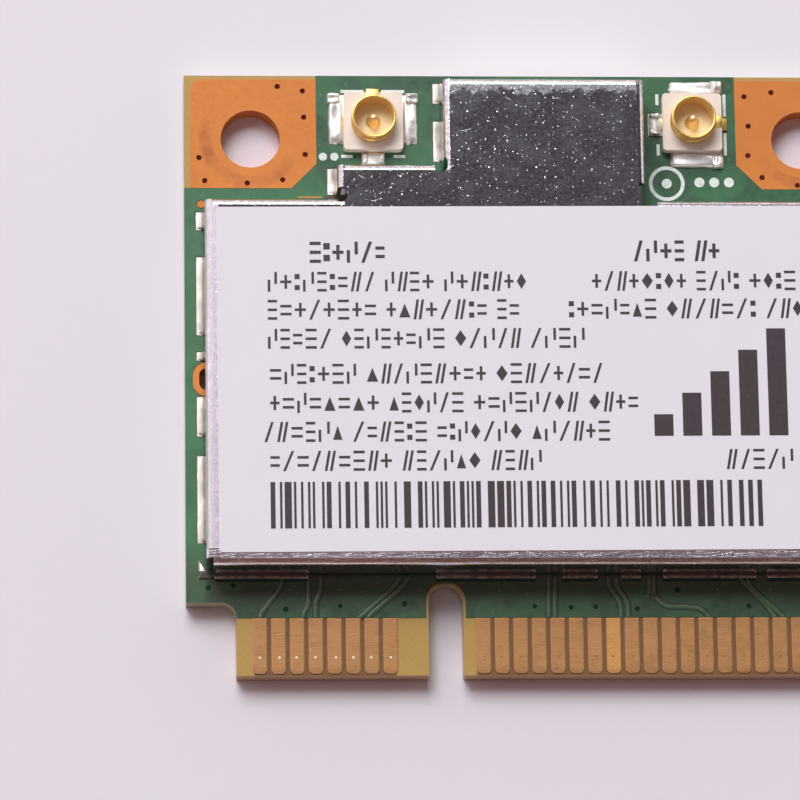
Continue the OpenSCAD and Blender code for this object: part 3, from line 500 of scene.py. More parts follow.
def build_effects():
    """The effects that several finishes share."""
    # Soft clouds: noise on the place divided by the size, stretched about its middle.
    r, i, end = new_group("clouds", "Value", Size=1.0, Detail=3.0, Contrast=1.0)
    place = r.scale(i["Place"], 1.0 / i["Size"])
    noise = r.feed("ShaderNodeTexNoise", {"Vector": place, "Scale": 1.0, "Detail": i["Detail"]})
    r.put(end, clamp((noise - 0.5) * i["Contrast"] + 0.5))

    # Specks: round spots in some cells of a flat random net, a share of the spacing across.
    # The net is sheared by the height, so that it also lies on upright walls.
    r, i, end = new_group("specks", "Mask", Spacing=1.0, Radius=0.2, Share=0.5)
    x, y, z = r.split(i["Place"])
    place = r.scale(r.join(z * 0.9 + x, z * 0.6 + y), 1.0 / i["Spacing"])
    net = {"Vector": place, "Scale": 1.0}
    cells = r.add("ShaderNodeTexVoronoi", net, voronoi_dimensions="2D").outputs
    chance = r.split(Wire(r, cells["Color"]))
    radius = i["Radius"] * (chance[1] + 0.3)
    spot = r.fit(Wire(r, cells["Distance"]) / radius, 1.0, 0.6)
    r.put(end, spot * (chance[0] < i["Share"]))

    # Scuffs: noise drawn out along one direction, kept only at its crests.
    r, i, end = new_group("scuffs", "Mask", Turn=0.0, Length=2.0, Width=0.05, Amount=0.3)
    turning = {"Vector": i["Place"], "Angle": i["Turn"]}
    turned_place = r.feed("ShaderNodeVectorRotate", turning, rotation_type="Z_AXIS")
    bend = r.clouds(turned_place, 3.0, 1.0, 1.0)
    x, y, z = r.split(turned_place)
    drawn = r.join(x / i["Length"], (y + bend) / i["Width"], z)
    noise = r.feed("ShaderNodeTexNoise", {"Vector": drawn, "Scale": 1.0, "Detail": 1.0})
    limit = 0.8 - i["Amount"] * 0.4
    r.put(end, r.fit(noise - limit, 0.0, 0.05))

    # Painted front shade: shade and sheen painted on the mask before the shield, thickest
    # at the wall, in clouds.
    r, i, end = new_group("painted_front_shade", "Mask")
    x, y, z = r.split(i["Place"])
    reach = r.fit(y, CAN_LO[1] - 2.2, CAN_LO[1] - 0.5, 0.45, 1.0)
    reach = reach * r.fit(y, CAN_LO[1] + 1.5, CAN_LO[1])
    patchy = r.clouds(i["Place"], 1.4, 2.0, 1.5)
    r.put(end, reach * r.fit(patchy, 0.2, 0.8, 0.7, 1.0))

    # Weave: two crossed sets of fine threads, where each thread is a rounded ridge.
    r, i, end = new_group("glass_weave", "Height", Pitch=0.45)
    x, y, z = r.split(i["Place"])
    turns = 2 * math.pi / i["Pitch"]
    r.put(end, r.math("SINE", x * turns) * r.math("SINE", y * turns) * 0.5 + 0.5)

    # Round wear: a ring about a screw hole, on either side of the card, broken by clouds.
    r, i, end = new_group("screw_wear", "Mask", Inner=1.75, Outer=2.35)
    x, y, z = r.split(i["Place"])
    dx, dy = abs(x) - (BOARD_HI[0] - HOLE_IN), y - (BOARD_HI[1] - HOLE_IN)
    away = r.root_of_squares(dx, dy)
    inner, outer = i["Inner"], i["Outer"]
    ring = r.fit(away, inner - 0.12, inner) * r.fit(away, outer, outer - 0.25)
    low_side = r.fit(dx * 0.6 - dy, -0.9, 1.3)
    r.put(end, clamp(ring * low_side * r.clouds(i["Place"], 0.8, 3.0, 2.4)))


def start_finish(name, roughness=0.5, metallic=0.0, **plain):
    """A material with its Principled shader and the place on the object in millimetres."""
    material = bpy.data.materials.new(name)
    material.use_nodes = True
    material.node_tree.nodes.clear()
    r = Recipe(material.node_tree)
    inputs = {key.replace("_", " "): value for key, value in plain.items()}
    inputs.update(Roughness=roughness, Metallic=metallic)
    shader = r.add("ShaderNodeBsdfPrincipled", inputs)
    r.add("ShaderNodeOutputMaterial", [Wire(r, shader.outputs[0])])
    place = r.scale(r.feed("ShaderNodeTexCoord", output="Object"), 1 / MM)
    return material, r, shader.inputs, place


def shade(colour, k):
    return tuple(min(1.0, c * k) for c in colour[:3])


# Tones that one finish needs beside the card's colours.
# Painted shade under the shield, seen through the relief hole.
RELIEF_HOLE_SHADE = from_screen(70, 40, 24)
# Painted shade and sheen before the shield's front wall, on the mask, its gaps and tracks.
MASK_FRONT_SHADE = from_screen(66, 66, 50)
GAP_FRONT_SHADE = from_screen(58, 56, 44)
TRACK_FRONT_SHADE = from_screen(104, 102, 84)
RESIN_BROWN = from_screen(104, 60, 26)
BARE_MARGIN = from_screen(104, 108, 76)
EDGE_UNDER_MASK = from_screen(176, 184, 156)
BRIGHT_CONTACT, BRIGHT_NUMBER = from_screen(236, 176, 86), 19.0
CONTACT_RIM = from_screen(150, 92, 52)
# Painted shade in the crease where solder meets the shield's left wall.
SOLDER_CREASE_SHADE = from_screen(176, 166, 132)
# Painted shade on solder before the shield, and a painted highlight on its lip.
SHADED_SOLDER_DARK = from_screen(82, 80, 80)
SHADED_SOLDER_PALE = from_screen(120, 116, 116)
SOLDER_LIP_HIGHLIGHT = from_screen(190, 184, 182)
SHADED_PAD = from_screen(40, 58, 44)
BARREL_INSIDE = from_screen(250, 224, 172)
TINNED_FOOT = from_screen(226, 220, 208)
# Painted reflection of gold on the moulded floor inside the barrels.
WELL_GOLD_REFLECTION = from_screen(248, 226, 182)


def clouded(
    name, low, high, clouds, rough, span=None, metallic=0.0, bump=None, front_shade_tone=None, **plain
):
    """A finish whose colour goes from one tone to another with one set of clouds.

    The roughness follows them over its span, and so does the bump. The front shade tone
    is painted shade and sheen, laid before the shield."""
    material, r, s, p = start_finish(name, rough, metallic, **plain)
    uneven = r.clouds(p, *clouds)
    base = r.mix(uneven, low, high)
    if front_shade_tone:
        base = r.mix(r.group("painted_front_shade", p) * 0.7, base, front_shade_tone)
    r.put(s["Base Color"], base)
    if span:
        r.put(s["Roughness"], r.fit(uneven, 0.0, 1.0, *span))
    if bump:
        r.put(s["Normal"], r.bump(uneven, *bump))
    return material


def make_finishes(c):
    """Every finish of the card, by name."""
    m = {}

    # Solder mask: film over copper is lighter than film over bare laminate. Copper
    # fills the card but for soft-edged fields, and fine ripples cover it all.
    m["mask"], r, s, p = start_finish("solder_mask", 0.34, IOR=1.5)
    fields = r.clouds(p, 2.6, 1.0, 6.0)
    fine = r.clouds(p, 0.35, 4.0, 1.3)
    wide = r.clouds(p, 5.0, 2.0, 1.5)
    base = r.mix(r.fit(fields, 0.35, 0.75), c.mask, c.mask_pour)
    base = r.mix(fine * 0.35, base, shade(c.mask_pour, 1.25))
    base = r.mix(wide * 0.3, base, shade(c.mask, 0.8))
    x, y, z = r.split(p)
    base = r.mix(r.fit(y, 7.0, 9.0, 0.0, 0.3), base, shade(c.mask, 0.6))
    beside = r.fit(x, CAN_LO[0] + 0.1, CAN_LO[0] - 0.1, 0.0, 0.35)
    base = r.mix(beside, base, shade(c.mask_pour, 1.4))
    # Painted shade: the board under the shield, seen through the relief hole, in dark brown.
    for cx, cy in RELIEFS:
        away = r.distance(p, (cx, cy, MASK_TOP))
        base = r.mix(r.fit(away, 0.75, 0.5), base, RELIEF_HOLE_SHADE)
    # Painted shade and sheen before the shield's front wall.
    haze = r.group("painted_front_shade", p)
    base = r.mix(haze * 0.7, base, MASK_FRONT_SHADE)
    r.put(s["Base Color"], base)
    r.put(s["Roughness"], r.fit(fine, 0.0, 1.0, 0.26, 0.44))
    ripple = r.clouds(p, 0.22, 3.0, 1.0)
    r.put(s["Normal"], r.bump(ripple + fields, 0.35, 0.006))

    # Film over the bare gaps beside a track, and over the track, a little lighter again.
    fine = (0.3, 3.0, 1.5)
    m["gap"] = clouded(
        "mask_over_gap", shade(c.mask, 0.5), shade(c.mask, 0.7), fine, 0.34,
        span=(0.26, 0.42), front_shade_tone=GAP_FRONT_SHADE, IOR=1.5,
    )
    m["track"] = clouded(
        "mask_over_track", shade(c.mask_pour, 0.9), shade(c.mask_pour, 1.25), fine, 0.3,
        span=(0.22, 0.4), bump=(0.2, 0.004), front_shade_tone=TRACK_FRONT_SHADE, IOR=1.5,
    )

    # Laminate: glass weave under resin, paler on the sawn edge, and brown between contacts.
    m["laminate"], r, s, p = start_finish("laminate", 0.5, IOR=1.5)
    weave = r.group("glass_weave", p, 0.42)
    mottle = r.clouds(p, 0.7, 4.0, 1.6)
    base = r.mix(weave * 0.25, c.laminate, shade(c.laminate, 1.18))
    base = r.mix(mottle * 0.4, base, shade(c.laminate, 0.8))
    x, y, z = r.split(p)
    rows = [r.fit(x, a, b) * r.fit(x, d, e) for a, b, d, e in CONTACT_ROWS]
    between = clamp(rows[0] + rows[1]) * r.fit(y, MASK_END + 0.3, MASK_END)
    base = r.mix(between * 0.85, base, RESIN_BROWN)
    inner = (y > CAN_LO[1] - 0.45) * (y < 13.2) * (abs(x) < 14.6) * (abs(x) + y < 26.9)
    base = r.mix(inner, base, BARE_MARGIN)
    fibres = r.clouds(p, 0.12, 2.0, 2.0)
    under_mask = r.fit(y, MASK_END - 0.1, MASK_END + 0.5)
    edge_base = r.mix(under_mask, c.laminate_edge, EDGE_UNDER_MASK)
    edge_base = r.mix(fibres * 0.3, edge_base, shade(c.laminate_edge, 0.7))
    r.put(s["Base Color"], r.mix(r.on_wall(), base, edge_base))
    r.put(s["Normal"], r.bump(weave + fibres, 0.25, 0.008))

    # Bare copper: matte, mottled, and darker where the screw head has rubbed.
    m["copper"], r, s, p = start_finish("bare_copper", 0.55, 0.35)
    grain = r.clouds(p, 0.16, 4.0, 1.2)
    mottle = r.clouds(p, 1.3, 3.0, 1.6)
    wear = r.group("screw_wear", p)
    scuff = r.scuffs(p, 0.5, 0.9, 0.06, 0.32)
    base = r.mix(mottle, shade(c.copper, 0.93), shade(c.copper, 1.05))
    base = r.mix(grain * 0.3, base, shade(c.copper, 1.18))
    base = r.mix(wear * 0.85, base, c.copper_worn)
    base = r.mix(scuff * 0.25, base, shade(c.copper, 1.3))
    base = r.mix(r.on_wall(), base, c.copper)
    r.put(s["Base Color"], base)
    r.put(s["Roughness"], r.fit(grain, 0.2, 0.8, 0.45, 0.65))
    r.put(s["Normal"], r.bump(grain, 0.3, 0.006))

    # Edge contacts: satin gold over copper, drawn out in fine rub lines along each, darker
    # towards its edges and its end, with a probe's dint, and here and there a brighter one.
    m["contact"], r, s, p = start_finish("edge_contact", 0.42, 0.6)
    x, y, z = r.split(p)
    along = (x - FINGERS_LO[0]) / CONTACT_PITCH
    number = r.math("FLOOR", along)
    across = r.math("FRACT", along) * CONTACT_PITCH - CONTACT_W / 2
    toss = r.feed("ShaderNodeTexWhiteNoise", {"W": number}, noise_dimensions="1D")
    lines = r.scuffs(p, 0.0, 0.7, 0.045, 0.7)
    mottle = r.clouds(p, 0.4, 5.0, 1.5)
    grain = r.clouds(p, 0.07, 3.0, 1.6)
    base = r.mix(mottle, shade(c.contact, 0.9), shade(c.contact, 1.08))
    base = r.mix(toss * 0.25, base, shade(c.contact, 0.82))
    bright = r.math("COMPARE", number, BRIGHT_NUMBER, 0.1)
    base = r.mix(bright * 0.5, base, BRIGHT_CONTACT)
    base = r.mix(grain * 0.25, base, shade(c.contact, 0.75))
    base = r.mix(lines * 0.3, base, shade(c.contact, 1.25))
    rim = r.fit(abs(across), 0.22, CONTACT_W / 2)
    base = r.mix(rim * 0.5, base, CONTACT_RIM)
    # Painted highlight along the left edge of each contact.
    left_edge_highlight = r.fit(across, -0.24, -0.29) * 0.55
    base = r.mix(left_edge_highlight, base, shade(c.contact, 1.35))
    foot = r.fit(y, FINGERS_LO[1] + 0.4, FINGERS_LO[1] + 0.02)
    base = r.mix(foot * 0.4, base, shade(c.contact, 0.55))
    # Painted highlight at the top end of each contact, by the mask.
    head = r.fit(y, MASK_END - 0.1, MASK_END - 0.02)
    base = r.mix(head * 0.6, base, shade(c.contact, 1.4))
    off = (toss - 0.5) * 0.1 + across
    far = y - (FINGERS_LO[1] + 0.72)
    dint = r.fit(r.root_of_squares(off, far), 0.07, 0.03)
    dint_colour = r.mix(x < -5, shade(c.contact, 0.55), (1.0, 0.95, 0.85))
    base = r.mix(dint * 0.75, base, dint_colour)
    r.put(s["Base Color"], base)
    r.put(s["Roughness"], r.fit(mottle, 0.0, 1.0, 0.36, 0.54))
    height = lines * 0.5 + (grain * 0.6 + mottle) - dint
    r.put(s["Normal"], r.bump(height, 0.3, 0.008))

    # Tinned sheet: mirror-like, with crystal grain, small bright pits and a few fine
    # scratches. It rolls off a little towards its left, front and rear edges, with rolling
    # lines along the front edge and coarse crystals along the rear one.
    m["sheet"], r, s, p = start_finish("tinned_sheet", 0.12, 1.0)
    x, y, z = r.split(p)
    grain = r.clouds(p, 0.14, 4.0, 3.0)
    haze = r.clouds(p, 0.9, 4.0, 3.0)
    crystals = r.clouds(p, 0.34, 3.0, 3.0)
    fine = r.scuffs(p, 0.55, 1.1, 0.03, 0.05)
    cross = r.scuffs(p, -0.2, 1.5, 0.025, 0.03)
    pits = r.specks(p, 0.42, 0.08, 0.4)
    dust = r.specks(p, 0.2, 0.18, 0.24)
    lines = clamp(fine + cross)
    level = z > CAN_HI[2] - 0.3
    front = r.fit(y, CAN_LO[1] + 0.8, CAN_LO[1] + 0.6) * level
    left = r.fit(x, CAN_LO[0] + 0.6, CAN_LO[0] + 0.3) * level
    # Painted sheen: along the front edge the sheet is made lighter, most towards the left, in
    # patches, with its rolling streaks and crystal crumbs: a rubbed strip with painted sheen.
    streak = r.scuffs(p, 0.0, 1.8, 0.045, 0.85)
    crumbs = r.fit(y, CAN_LO[1] + 0.36, CAN_LO[1] + 0.46) * r.fit(crystals, 0.45, 0.7)
    patchy = r.clouds(p, 2.6, 2.0, 2.4)
    lit = r.fit(x, 0.0, -12.0) * 0.45 + patchy * 0.35
    lit = clamp(streak * 0.22 + (crumbs * 0.4 + lit))
    lit = lit * front
    base = r.mix(haze * level, c.sheet, shade(c.sheet, 0.66))
    clear = left * -0.75 + 1.0
    drawn = r.scuffs(p, math.pi / 2, 2.0, 0.04, 0.8)
    base = r.mix(left * r.fit(drawn, 0.0, 1.0, 0.5, 0.8), base, shade(c.sheet, 0.62))
    base = r.mix(grain * 0.95 * level * clear, base, shade(c.sheet, 0.45))
    bent = r.fit(z, CAN_HI[2] - 0.01, CAN_HI[2] - 0.05) * r.fit(crystals, 0.3, 0.7)
    bent = bent * r.fit(z, CAN_HI[2] - 0.5, CAN_HI[2] - 0.35, 0.25, 1.0)
    base = r.mix(bent * 0.3, base, shade(c.sheet, 0.5))
    spots = clamp(dust * 0.3 + pits * 0.62) * clear
    base = r.mix(clamp(spots + lit), base, (0.98, 0.96, 0.98))
    r.put(s["Base Color"], base)
    jag = (crystals - 0.5) * 0.4 + y
    rear = r.fit(jag, CAN_HI[1] - 0.75, CAN_HI[1] - 0.5)
    rough = r.fit(haze, 0.1, 0.9, 0.09, 0.14)
    rough = front * 0.08 + (left * 0.04 + rough)
    rough = rear * level * 0.1 + rough
    rough = r.fit(y, CAN_HI[1] - 0.32, CAN_HI[1] - 0.22) * 0.2 + rough
    rough = clamp(lines + spots) * 0.24 + rough
    r.put(s["Roughness"], rough)
    front_ramp = r.fit(y, CAN_LO[1] + 0.2, CAN_LO[1] + 0.7, smooth=False)
    left_ramp = r.fit(x, CAN_LO[0] + 0.25, CAN_LO[0] + 0.6, 0.0, 0.9, smooth=False)
    rolled = r.bump(streak * front * 0.022 + (front_ramp + left_ramp), 1.0, 0.1)
    height = spots * 1.2 + (lines * 0.5 + grain * clear * 0.5)
    r.put(s["Normal"], r.bump(height, 0.45, 0.006, rolled))

    # Solder: bright, with soft dull patches, and painted shade in the crease by the left wall.
    # Before the shield it is darkened as painted shade, but for a painted highlight on its lip.
    m["solder"], r, s, p = start_finish("solder", 0.4, 0.7)
    frost = r.clouds(p, 0.35, 3.0, 2.0)
    base = r.mix(frost, shade(c.solder, 0.72), c.solder)
    x, y, z = r.split(p)
    # Painted shade in the crease where the beads meet the left wall.
    wall = CAN_LO[0]
    beside = r.fit(x, wall - 0.14, wall - 0.04) * r.fit(x, wall + 0.2, wall + 0.1)
    base = r.mix(beside * r.fit(frost, 0.2, 0.7, 0.4, 0.9), base, SOLDER_CREASE_SHADE)
    # Painted shade on the solder before the shield, with a painted highlight on the beads' lip.
    before = r.fit(y, CAN_LO[1] + 0.12, CAN_LO[1] + 0.1)
    shaded_front = r.mix(frost, SHADED_SOLDER_DARK, SHADED_SOLDER_PALE)
    lip_highlight = r.fit(y, CAN_LO[1] - 0.06, CAN_LO[1] - 0.13) * r.fit(frost, 0.3, 0.7, 0.3, 1.0)
    shaded_front = r.mix(lip_highlight, shaded_front, SOLDER_LIP_HIGHLIGHT)
    base = r.mix(before, base, shaded_front)
    r.put(s["Base Color"], base)
    r.put(s["Roughness"], before * 0.25 + r.fit(frost, 0.2, 0.8, 0.3, 0.55))
    r.put(s["Normal"], r.bump(frost, 0.4, 0.012))

    # Pads: tinned, mostly hidden by solder. The dot at the shield's rear left corner and
    # the land of the receptacles stay copper.
    m["pad"], r, s, p = start_finish("tinned_pad", 0.4, 0.8)
    frost = r.clouds(p, 0.25, 3.0, 1.6)
    base = r.mix(frost, shade(c.tin, 0.75), shade(c.tin, 1.0))
    dot = r.distance(p, (CAN_LO[0] - 0.12, CAN_REAR_LEFT + 0.3, BOARD_TOP))
    base = r.mix(r.fit(dot, 0.34, 0.28), base, shade(c.copper, 0.85))
    x, y, z = r.split(p)
    base = r.mix(r.fit(y, CAN_LO[1] - 0.17, CAN_LO[1] - 0.2), base, SHADED_PAD)
    r.put(s["Base Color"], base)
    r.put(s["Roughness"], r.fit(frost, 0.0, 1.0, 0.32, 0.5))
    r.put(s["Normal"], r.bump(frost, 0.3, 0.006))

    # Gold plate on the stampings: paler and duller inside the barrels, tinned on the feet.
    m["gold"], r, s, p = start_finish("gold_plate", 0.2, 1.0)
    frost = r.clouds(p, 0.3, 4.0, 1.5)
    wear = r.scuffs(p, 0.2, 0.5, 0.03, 0.35)
    base = r.mix(frost, shade(c.gold, 0.85), shade(c.gold, 1.08))
    x, y, z = r.split(p)
    foot = r.fit(z, BOARD_TOP + 0.16, BOARD_TOP + 0.11)
    rough = wear * 0.12 + r.fit(frost, 0.0, 1.0, 0.26, 0.38)
    in_plan = r.join(x, y)
    for _, (cx, cy, _), turn in RECEPTACLES:
        strap = abs(y - cy if turn else x - cx) < 0.32
        foot = foot * (1.0 - strap)
        inner = r.fit(r.distance(in_plan, (cx, cy, 0)), 0.89, 0.87)
        base = r.mix(inner, base, BARREL_INSIDE)
        rough = inner * 0.2 + rough
    r.put(s["Base Color"], r.mix(foot, base, TINNED_FOOT))
    r.put(s["Roughness"], rough)
    r.put(s["Normal"], r.bump(frost + wear, 0.2, 0.004))

    # Label film: satin white with very faint pulp-like mottling.
    m["label"], r, s, p = start_finish("label_film", 0.46, IOR=1.45)
    mottle = r.clouds(p, 2.2, 4.0, 1.0)
    fine = r.clouds(p, 0.12, 2.0, 1.0)
    base = r.mix(mottle, shade(c.label, 0.975), shade(c.label, 1.02))
    r.put(s["Base Color"], base)
    r.put(s["Roughness"], r.fit(fine, 0.0, 1.0, 0.42, 0.52))
    r.put(s["Normal"], r.bump(fine, 0.12, 0.004))

    # Ink: uneven at its edges and a little shiny.
    for key, colour, name in (
        ("ink", c.ink, "label_ink"), ("white_ink", c.white_ink, "board_ink")
    ):
        tones = shade(colour, 0.86), shade(colour, 1.2)
        m[key] = clouded(name, *tones, (0.14, 3.0, 1.8), 0.42, span=(0.36, 0.5))

    # Moulded base: cream plastic, a little see-through, with a painted reflection of gold
    # on the floor inside each barrel.
    m["moulding"], r, s, p = start_finish("cream_moulding", 0.4, IOR=1.5)
    mottle = r.clouds(p, 0.6, 3.0, 1.2)
    fine = r.clouds(p, 0.06, 2.0, 1.0)
    base = r.mix(mottle, shade(c.moulding, 0.95), shade(c.moulding, 1.04))
    # Painted reflection: warm gold on the floor inside each barrel.
    for _, (cx, cy, _), _ in RECEPTACLES:
        away = r.distance(p, (cx, cy, BOARD_TOP + 0.3))
        base = r.mix(r.fit(away, 0.9, 0.84), base, WELL_GOLD_REFLECTION)
    r.put(s["Base Color"], base)
    r.put(s["Roughness"], r.fit(fine, 0.0, 1.0, 0.34, 0.48))
    r.put(s["Normal"], r.bump(fine, 0.15, 0.004))

    # Filled vias, and the dark tented ones under the mask.
    tent = from_screen(24, 58, 40)
    for key, colour, name in (("via", c.via, "filled_via"), ("tent", tent, "tented_via")):
        tones = shade(colour, 0.7), shade(colour, 1.3)
        m[key] = clouded(
            name, *tones, (0.1, 2.0, 2.0), 0.7, bump=(0.4, 0.01), Specular_IOR_Level=0.1
        )

    # Black chip bodies and the ceramics under the shield.
    for key, name, colour, rough, metal in (
        ("chip", "black_chip", c.chip, 0.5, 0.0),
        ("ferrite", "grey_ferrite", from_screen(92, 90, 90), 0.6, 0.0),
        ("tan", "tan_ceramic", from_screen(170, 138, 104), 0.5, 0.0),
        ("pale", "pale_ceramic", from_screen(212, 204, 188), 0.5, 0.0),
        ("glaze", "black_glaze", from_screen(36, 36, 38), 0.25, 0.0),
        ("tin", "tinned_end", from_screen(206, 206, 208), 0.3, 1.0),
    ):
        m[key] = clouded(
            name, shade(colour, 0.85), shade(colour, 1.15), (0.07, 3.0, 1.6), rough,
            span=(rough - 0.08, rough + 0.08), metallic=metal, bump=(0.3, 0.006),
        )
    return m


FINISH = {}


def dress(node, key):
    """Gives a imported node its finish."""
    slots = NODES[node].data.materials
    slots.clear()
    slots.append(FINISH[key])


# ---------------------------------------------------------------- receptacles

# Middle of each receptacle and its turn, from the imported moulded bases.
RECEPTACLES = []
for side, turn in (("left", 0.0), ("right", -90.0)):
    lo, hi = box_mm(side + "_coax_housing")
    RECEPTACLES.append((side, (lo + hi) / 2, turn))


def turned(points, middle, degrees):
    """Turns points about z by the angle, then moves them to the receptacle's middle."""
    a = math.radians(degrees)
    c, s = math.cos(a), math.sin(a)
    turn = np.array([[c, -s, 0], [s, c, 0], [0, 0, 1]])
    return points @ turn.T + np.array([middle[0], middle[1], BOARD_TOP])


def soft_strip(x0, x1, y0, y1, z0, z1, bevel=0.02):
    """A stamped strip with its upper edges rolled.

    The outline is a rectangle drawn in by bevel (1 - sin a) as it rises by
    bevel sin a, and the grid closes to a point above and below."""
    rings = [(0.0, z0)]
    for a in np.linspace(0, math.pi / 2, 4):
        rings.append((bevel * (1 - math.cos(a)), z1 - bevel + bevel * math.sin(a)))
    grid = []
    for inset, z in rings:
        xs = [x0 + inset, x1 - inset, x1 - inset, x0 + inset]
        ys = [y0 + inset, y0 + inset, y1 - inset, y1 - inset]
        grid.append(np.stack([xs, ys, np.full(4, z)], 1))
    return capped(np.array(grid))


def barrel_profile():
    """Radius and height round the barrel: flared foot, waist, rolled rim, inner wall."""
    outer = [
        (0.86, 0.1), (0.98, 0.1), (0.98, 0.64), (0.965, 0.68), (0.935, 0.71), (0.93, 0.74),
        (0.93, 0.93), (0.94, 0.965), (0.97, 0.995), (0.98, 1.03),
    ]
    a = np.linspace(-0.2, math.pi - 0.35, 12)
    rim = [(0.92 + 0.062 * math.cos(t), 1.185 + 0.062 * math.sin(t)) for t in a]
    inner = [(0.862, 1.12), (0.86, 0.9), (0.86, 0.45), (0.86, 0.1)]
    return outer + rim + inner


def pin_profile():
    """Radius and height of the centre pin: cone at its foot and a domed tip."""
    top, r = 1.1, 0.19
    foot = [
        (0.0, 0.28), (0.33, 0.28), (0.32, 0.31), (0.27, 0.34), (0.235, 0.4), (0.21, 0.48),
        (r, 0.58),
    ]
    a = np.linspace(0, math.pi / 2, 9)
    dome = [(r * math.cos(t), top - r + r * math.sin(t)) for t in a]
    return foot + dome


def blob(x0, x1, y0, y1, height, rng, steps, lean):
    """A lump of solder on a pad.

    Over the pad's rectangle, u and v from -1 to 1, the height is the product of
    (1 - u^4)^(1/2) and (1 - v^4)^(1/2), with seeded waves on it, and its foot is drawn
    in at the corners. The bottom is the same outline, flat on the board."""
    u = np.linspace(-1, 1, steps[0])[:, None]
    v = np.linspace(-1, 1, steps[1])[None, :]

    def phase():
        return 6.3 * rng.random()

    edge = np.sqrt(np.clip(1 - u**4, 0, 1)) * np.sqrt(np.clip(1 - v**4, 0, 1))
    waves = 1 + 0.18 * np.sin(2.7 * u + phase()) * np.cos(2.1 * v + phase())
    waves = waves + 0.12 * np.sin(5.1 * v + phase()) + lean * u
    pull = 1 - 0.06 * (u * v) ** 2
    x = (x0 + x1) / 2 + (x1 - x0) / 2 * u * pull * (1 + 0.03 * np.sin(4 * v + phase()))
    y = (y0 + y1) / 2 + (y1 - y0) / 2 * v * pull * (1 + 0.03 * np.sin(4 * u + phase()))
    top = np.stack([x, y, height * edge * waves + 0.002 + 0 * x], -1)
    low = np.stack([x, y, np.zeros_like(x) - 0.004], -1)
    return capped(np.concatenate([top, low[:, ::-1]], 1))


# The shell's side feet and its strap, lying and raised, and the pin's tail: ends in x, y
# and z in the receptacle's own frame, with the signal tail towards -y.
SHELL_STRIPS = (
    (-0.28, 0.28, 0.8, 1.58, 0, 0.1),
    (0.86, 1.8, -0.85, 1.25, 0, 0.1),
    (-1.8, -0.86, -0.85, 1.25, 0, 0.1),
    (-0.28, 0.28, 0.93, 1.33, 0.1, 0.52, 0.03),
)
PIN_TAIL = (-0.25, 0.25, -1.72, -0.3, 0, 0.1)
# Solder on the feet and the tail: ends in x and y, height, grid and lean of each lump.
LUMPS = (
    (-1.95, -1.31, -0.95, 1.33, 0.17, (22, 15), 0.1),
    (-2.0, -1.42, 0.85, 1.4, 0.26, (22, 15), 0.0),
    (1.31, 1.95, -0.95, 1.33, 0.17, (22, 15), -0.1),
    (1.42, 2.0, 0.85, 1.4, 0.26, (22, 15), 0.0),
    (-0.5, 0.5, -1.88, -1.31, 0.13, (22, 15), 0.0),
    (-0.5, -0.24, -1.86, -1.36, 0.26, (12, 12), 0.0),
    (0.24, 0.5, -1.86, -1.36, 0.26, (12, 12), 0.0),
)


class CARD_OT_receptacles(Operator):
    """Antenna receptacles: barrels and pins turned on the lathe, stamped feet, solder"""

    bl_idname = "card.receptacles"
    bl_label = "Antenna receptacles"

    def execute(self, context):
        rng = np.random.default_rng(context.scene.card_sizes.seed)
        solder = []
        for side, middle, turn in RECEPTACLES:
            barrel = join_grids([lathe(barrel_profile(), (0, 0, 0))], close_u=True)
            strips = join_grids([soft_strip(*ends) for ends in SHELL_STRIPS])
            pin = join_grids([lathe(pin_profile(), (0, 0, 0), 64)])
            tail = join_grids([soft_strip(*PIN_TAIL)])
            for name, node, smooth, shapes in (
                ("_shell", "_coax_shell", 40, (barrel, strips)),
                ("_pin", "_coax_contact", 50, (pin, tail)),
            ):
                points, faces = merge(*shapes)
                shape = turned(points, middle, turn), faces
                make_piece(side + name, shape, "gold", smooth, side + node)
            formed_copy(side + "_coax_housing", "moulding", 40)
            for *ends, steps, lean in LUMPS:
                solder.append(turned(blob(*ends, rng, steps, lean), middle, turn))
        lumps = join_grids(solder)
        make_piece("receptacle_solder", lumps, "solder", 60, "coax_solder")
        dress("coax_pads", "pad")
        return {"FINISHED"}


# ---------------------------------------------------------------- shield


def feet_of_shield():
    """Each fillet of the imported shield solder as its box, in millimetres."""
    bm = bmesh.new()
    bm.from_mesh(NODES["shield_solder"].data)
    bmesh.ops.remove_doubles(bm, verts=bm.verts, dist=1e-7)
    parts = linked_parts(bm.verts, lambda v: [e.other_vert(v) for e in v.link_edges])
    bm.free()
    return [(part.min(0), part.max(0)) for part in parts]


def bead(start, end, out, rng, w0, h0):
    """A solder bead along a foot of the shield.

    At u along the foot and v from the pad's edge up to the wall, it is a hollow fillet
    y = w (1 - sin v)^0.9, z = h (1 - cos v)^0.75, whose reach w and height h swell
    and sink by seeded waves and die away at both ends as (1 - |2u - 1|^8)^(1/2)."""
    start, end, out = (np.asarray(a, float) for a in (start, end, out))
    run = np.linalg.norm(end - start)
    n = max(14, int(run / 0.07))
    u = np.linspace(0, 1, n)
    env = np.sqrt(np.clip(1 - np.abs(2 * u - 1) ** 8, 0, 1)) * 0.96 + 0.04
    w = w0 * env**0.5 * (0.93 + 0.07 * wobble(u * run * 0.6, rng, 4))
    h = h0 * env * (0.74 + 0.26 * wobble(u * run * 0.42, rng, 4))
    h = np.clip(h, 0.08, 0.62)
    v = np.linspace(0, math.pi / 2, 9)
    wall = np.full((n, 1), -0.03)
    y = np.concatenate([w[:, None] * (1 - np.sin(v)) ** 0.9, wall, wall], 1)
    h = h[:, None]
    z = np.concatenate([h * (1 - np.cos(v)) ** 0.75, h * 0.98, 0 * wall - 0.004], 1)
    along = start + (end - start) * u[:, None]
    xy = along[:, None, :] + out * y[..., None]
    return capped(np.concatenate([xy, (BOARD_TOP + z)[..., None]], -1))


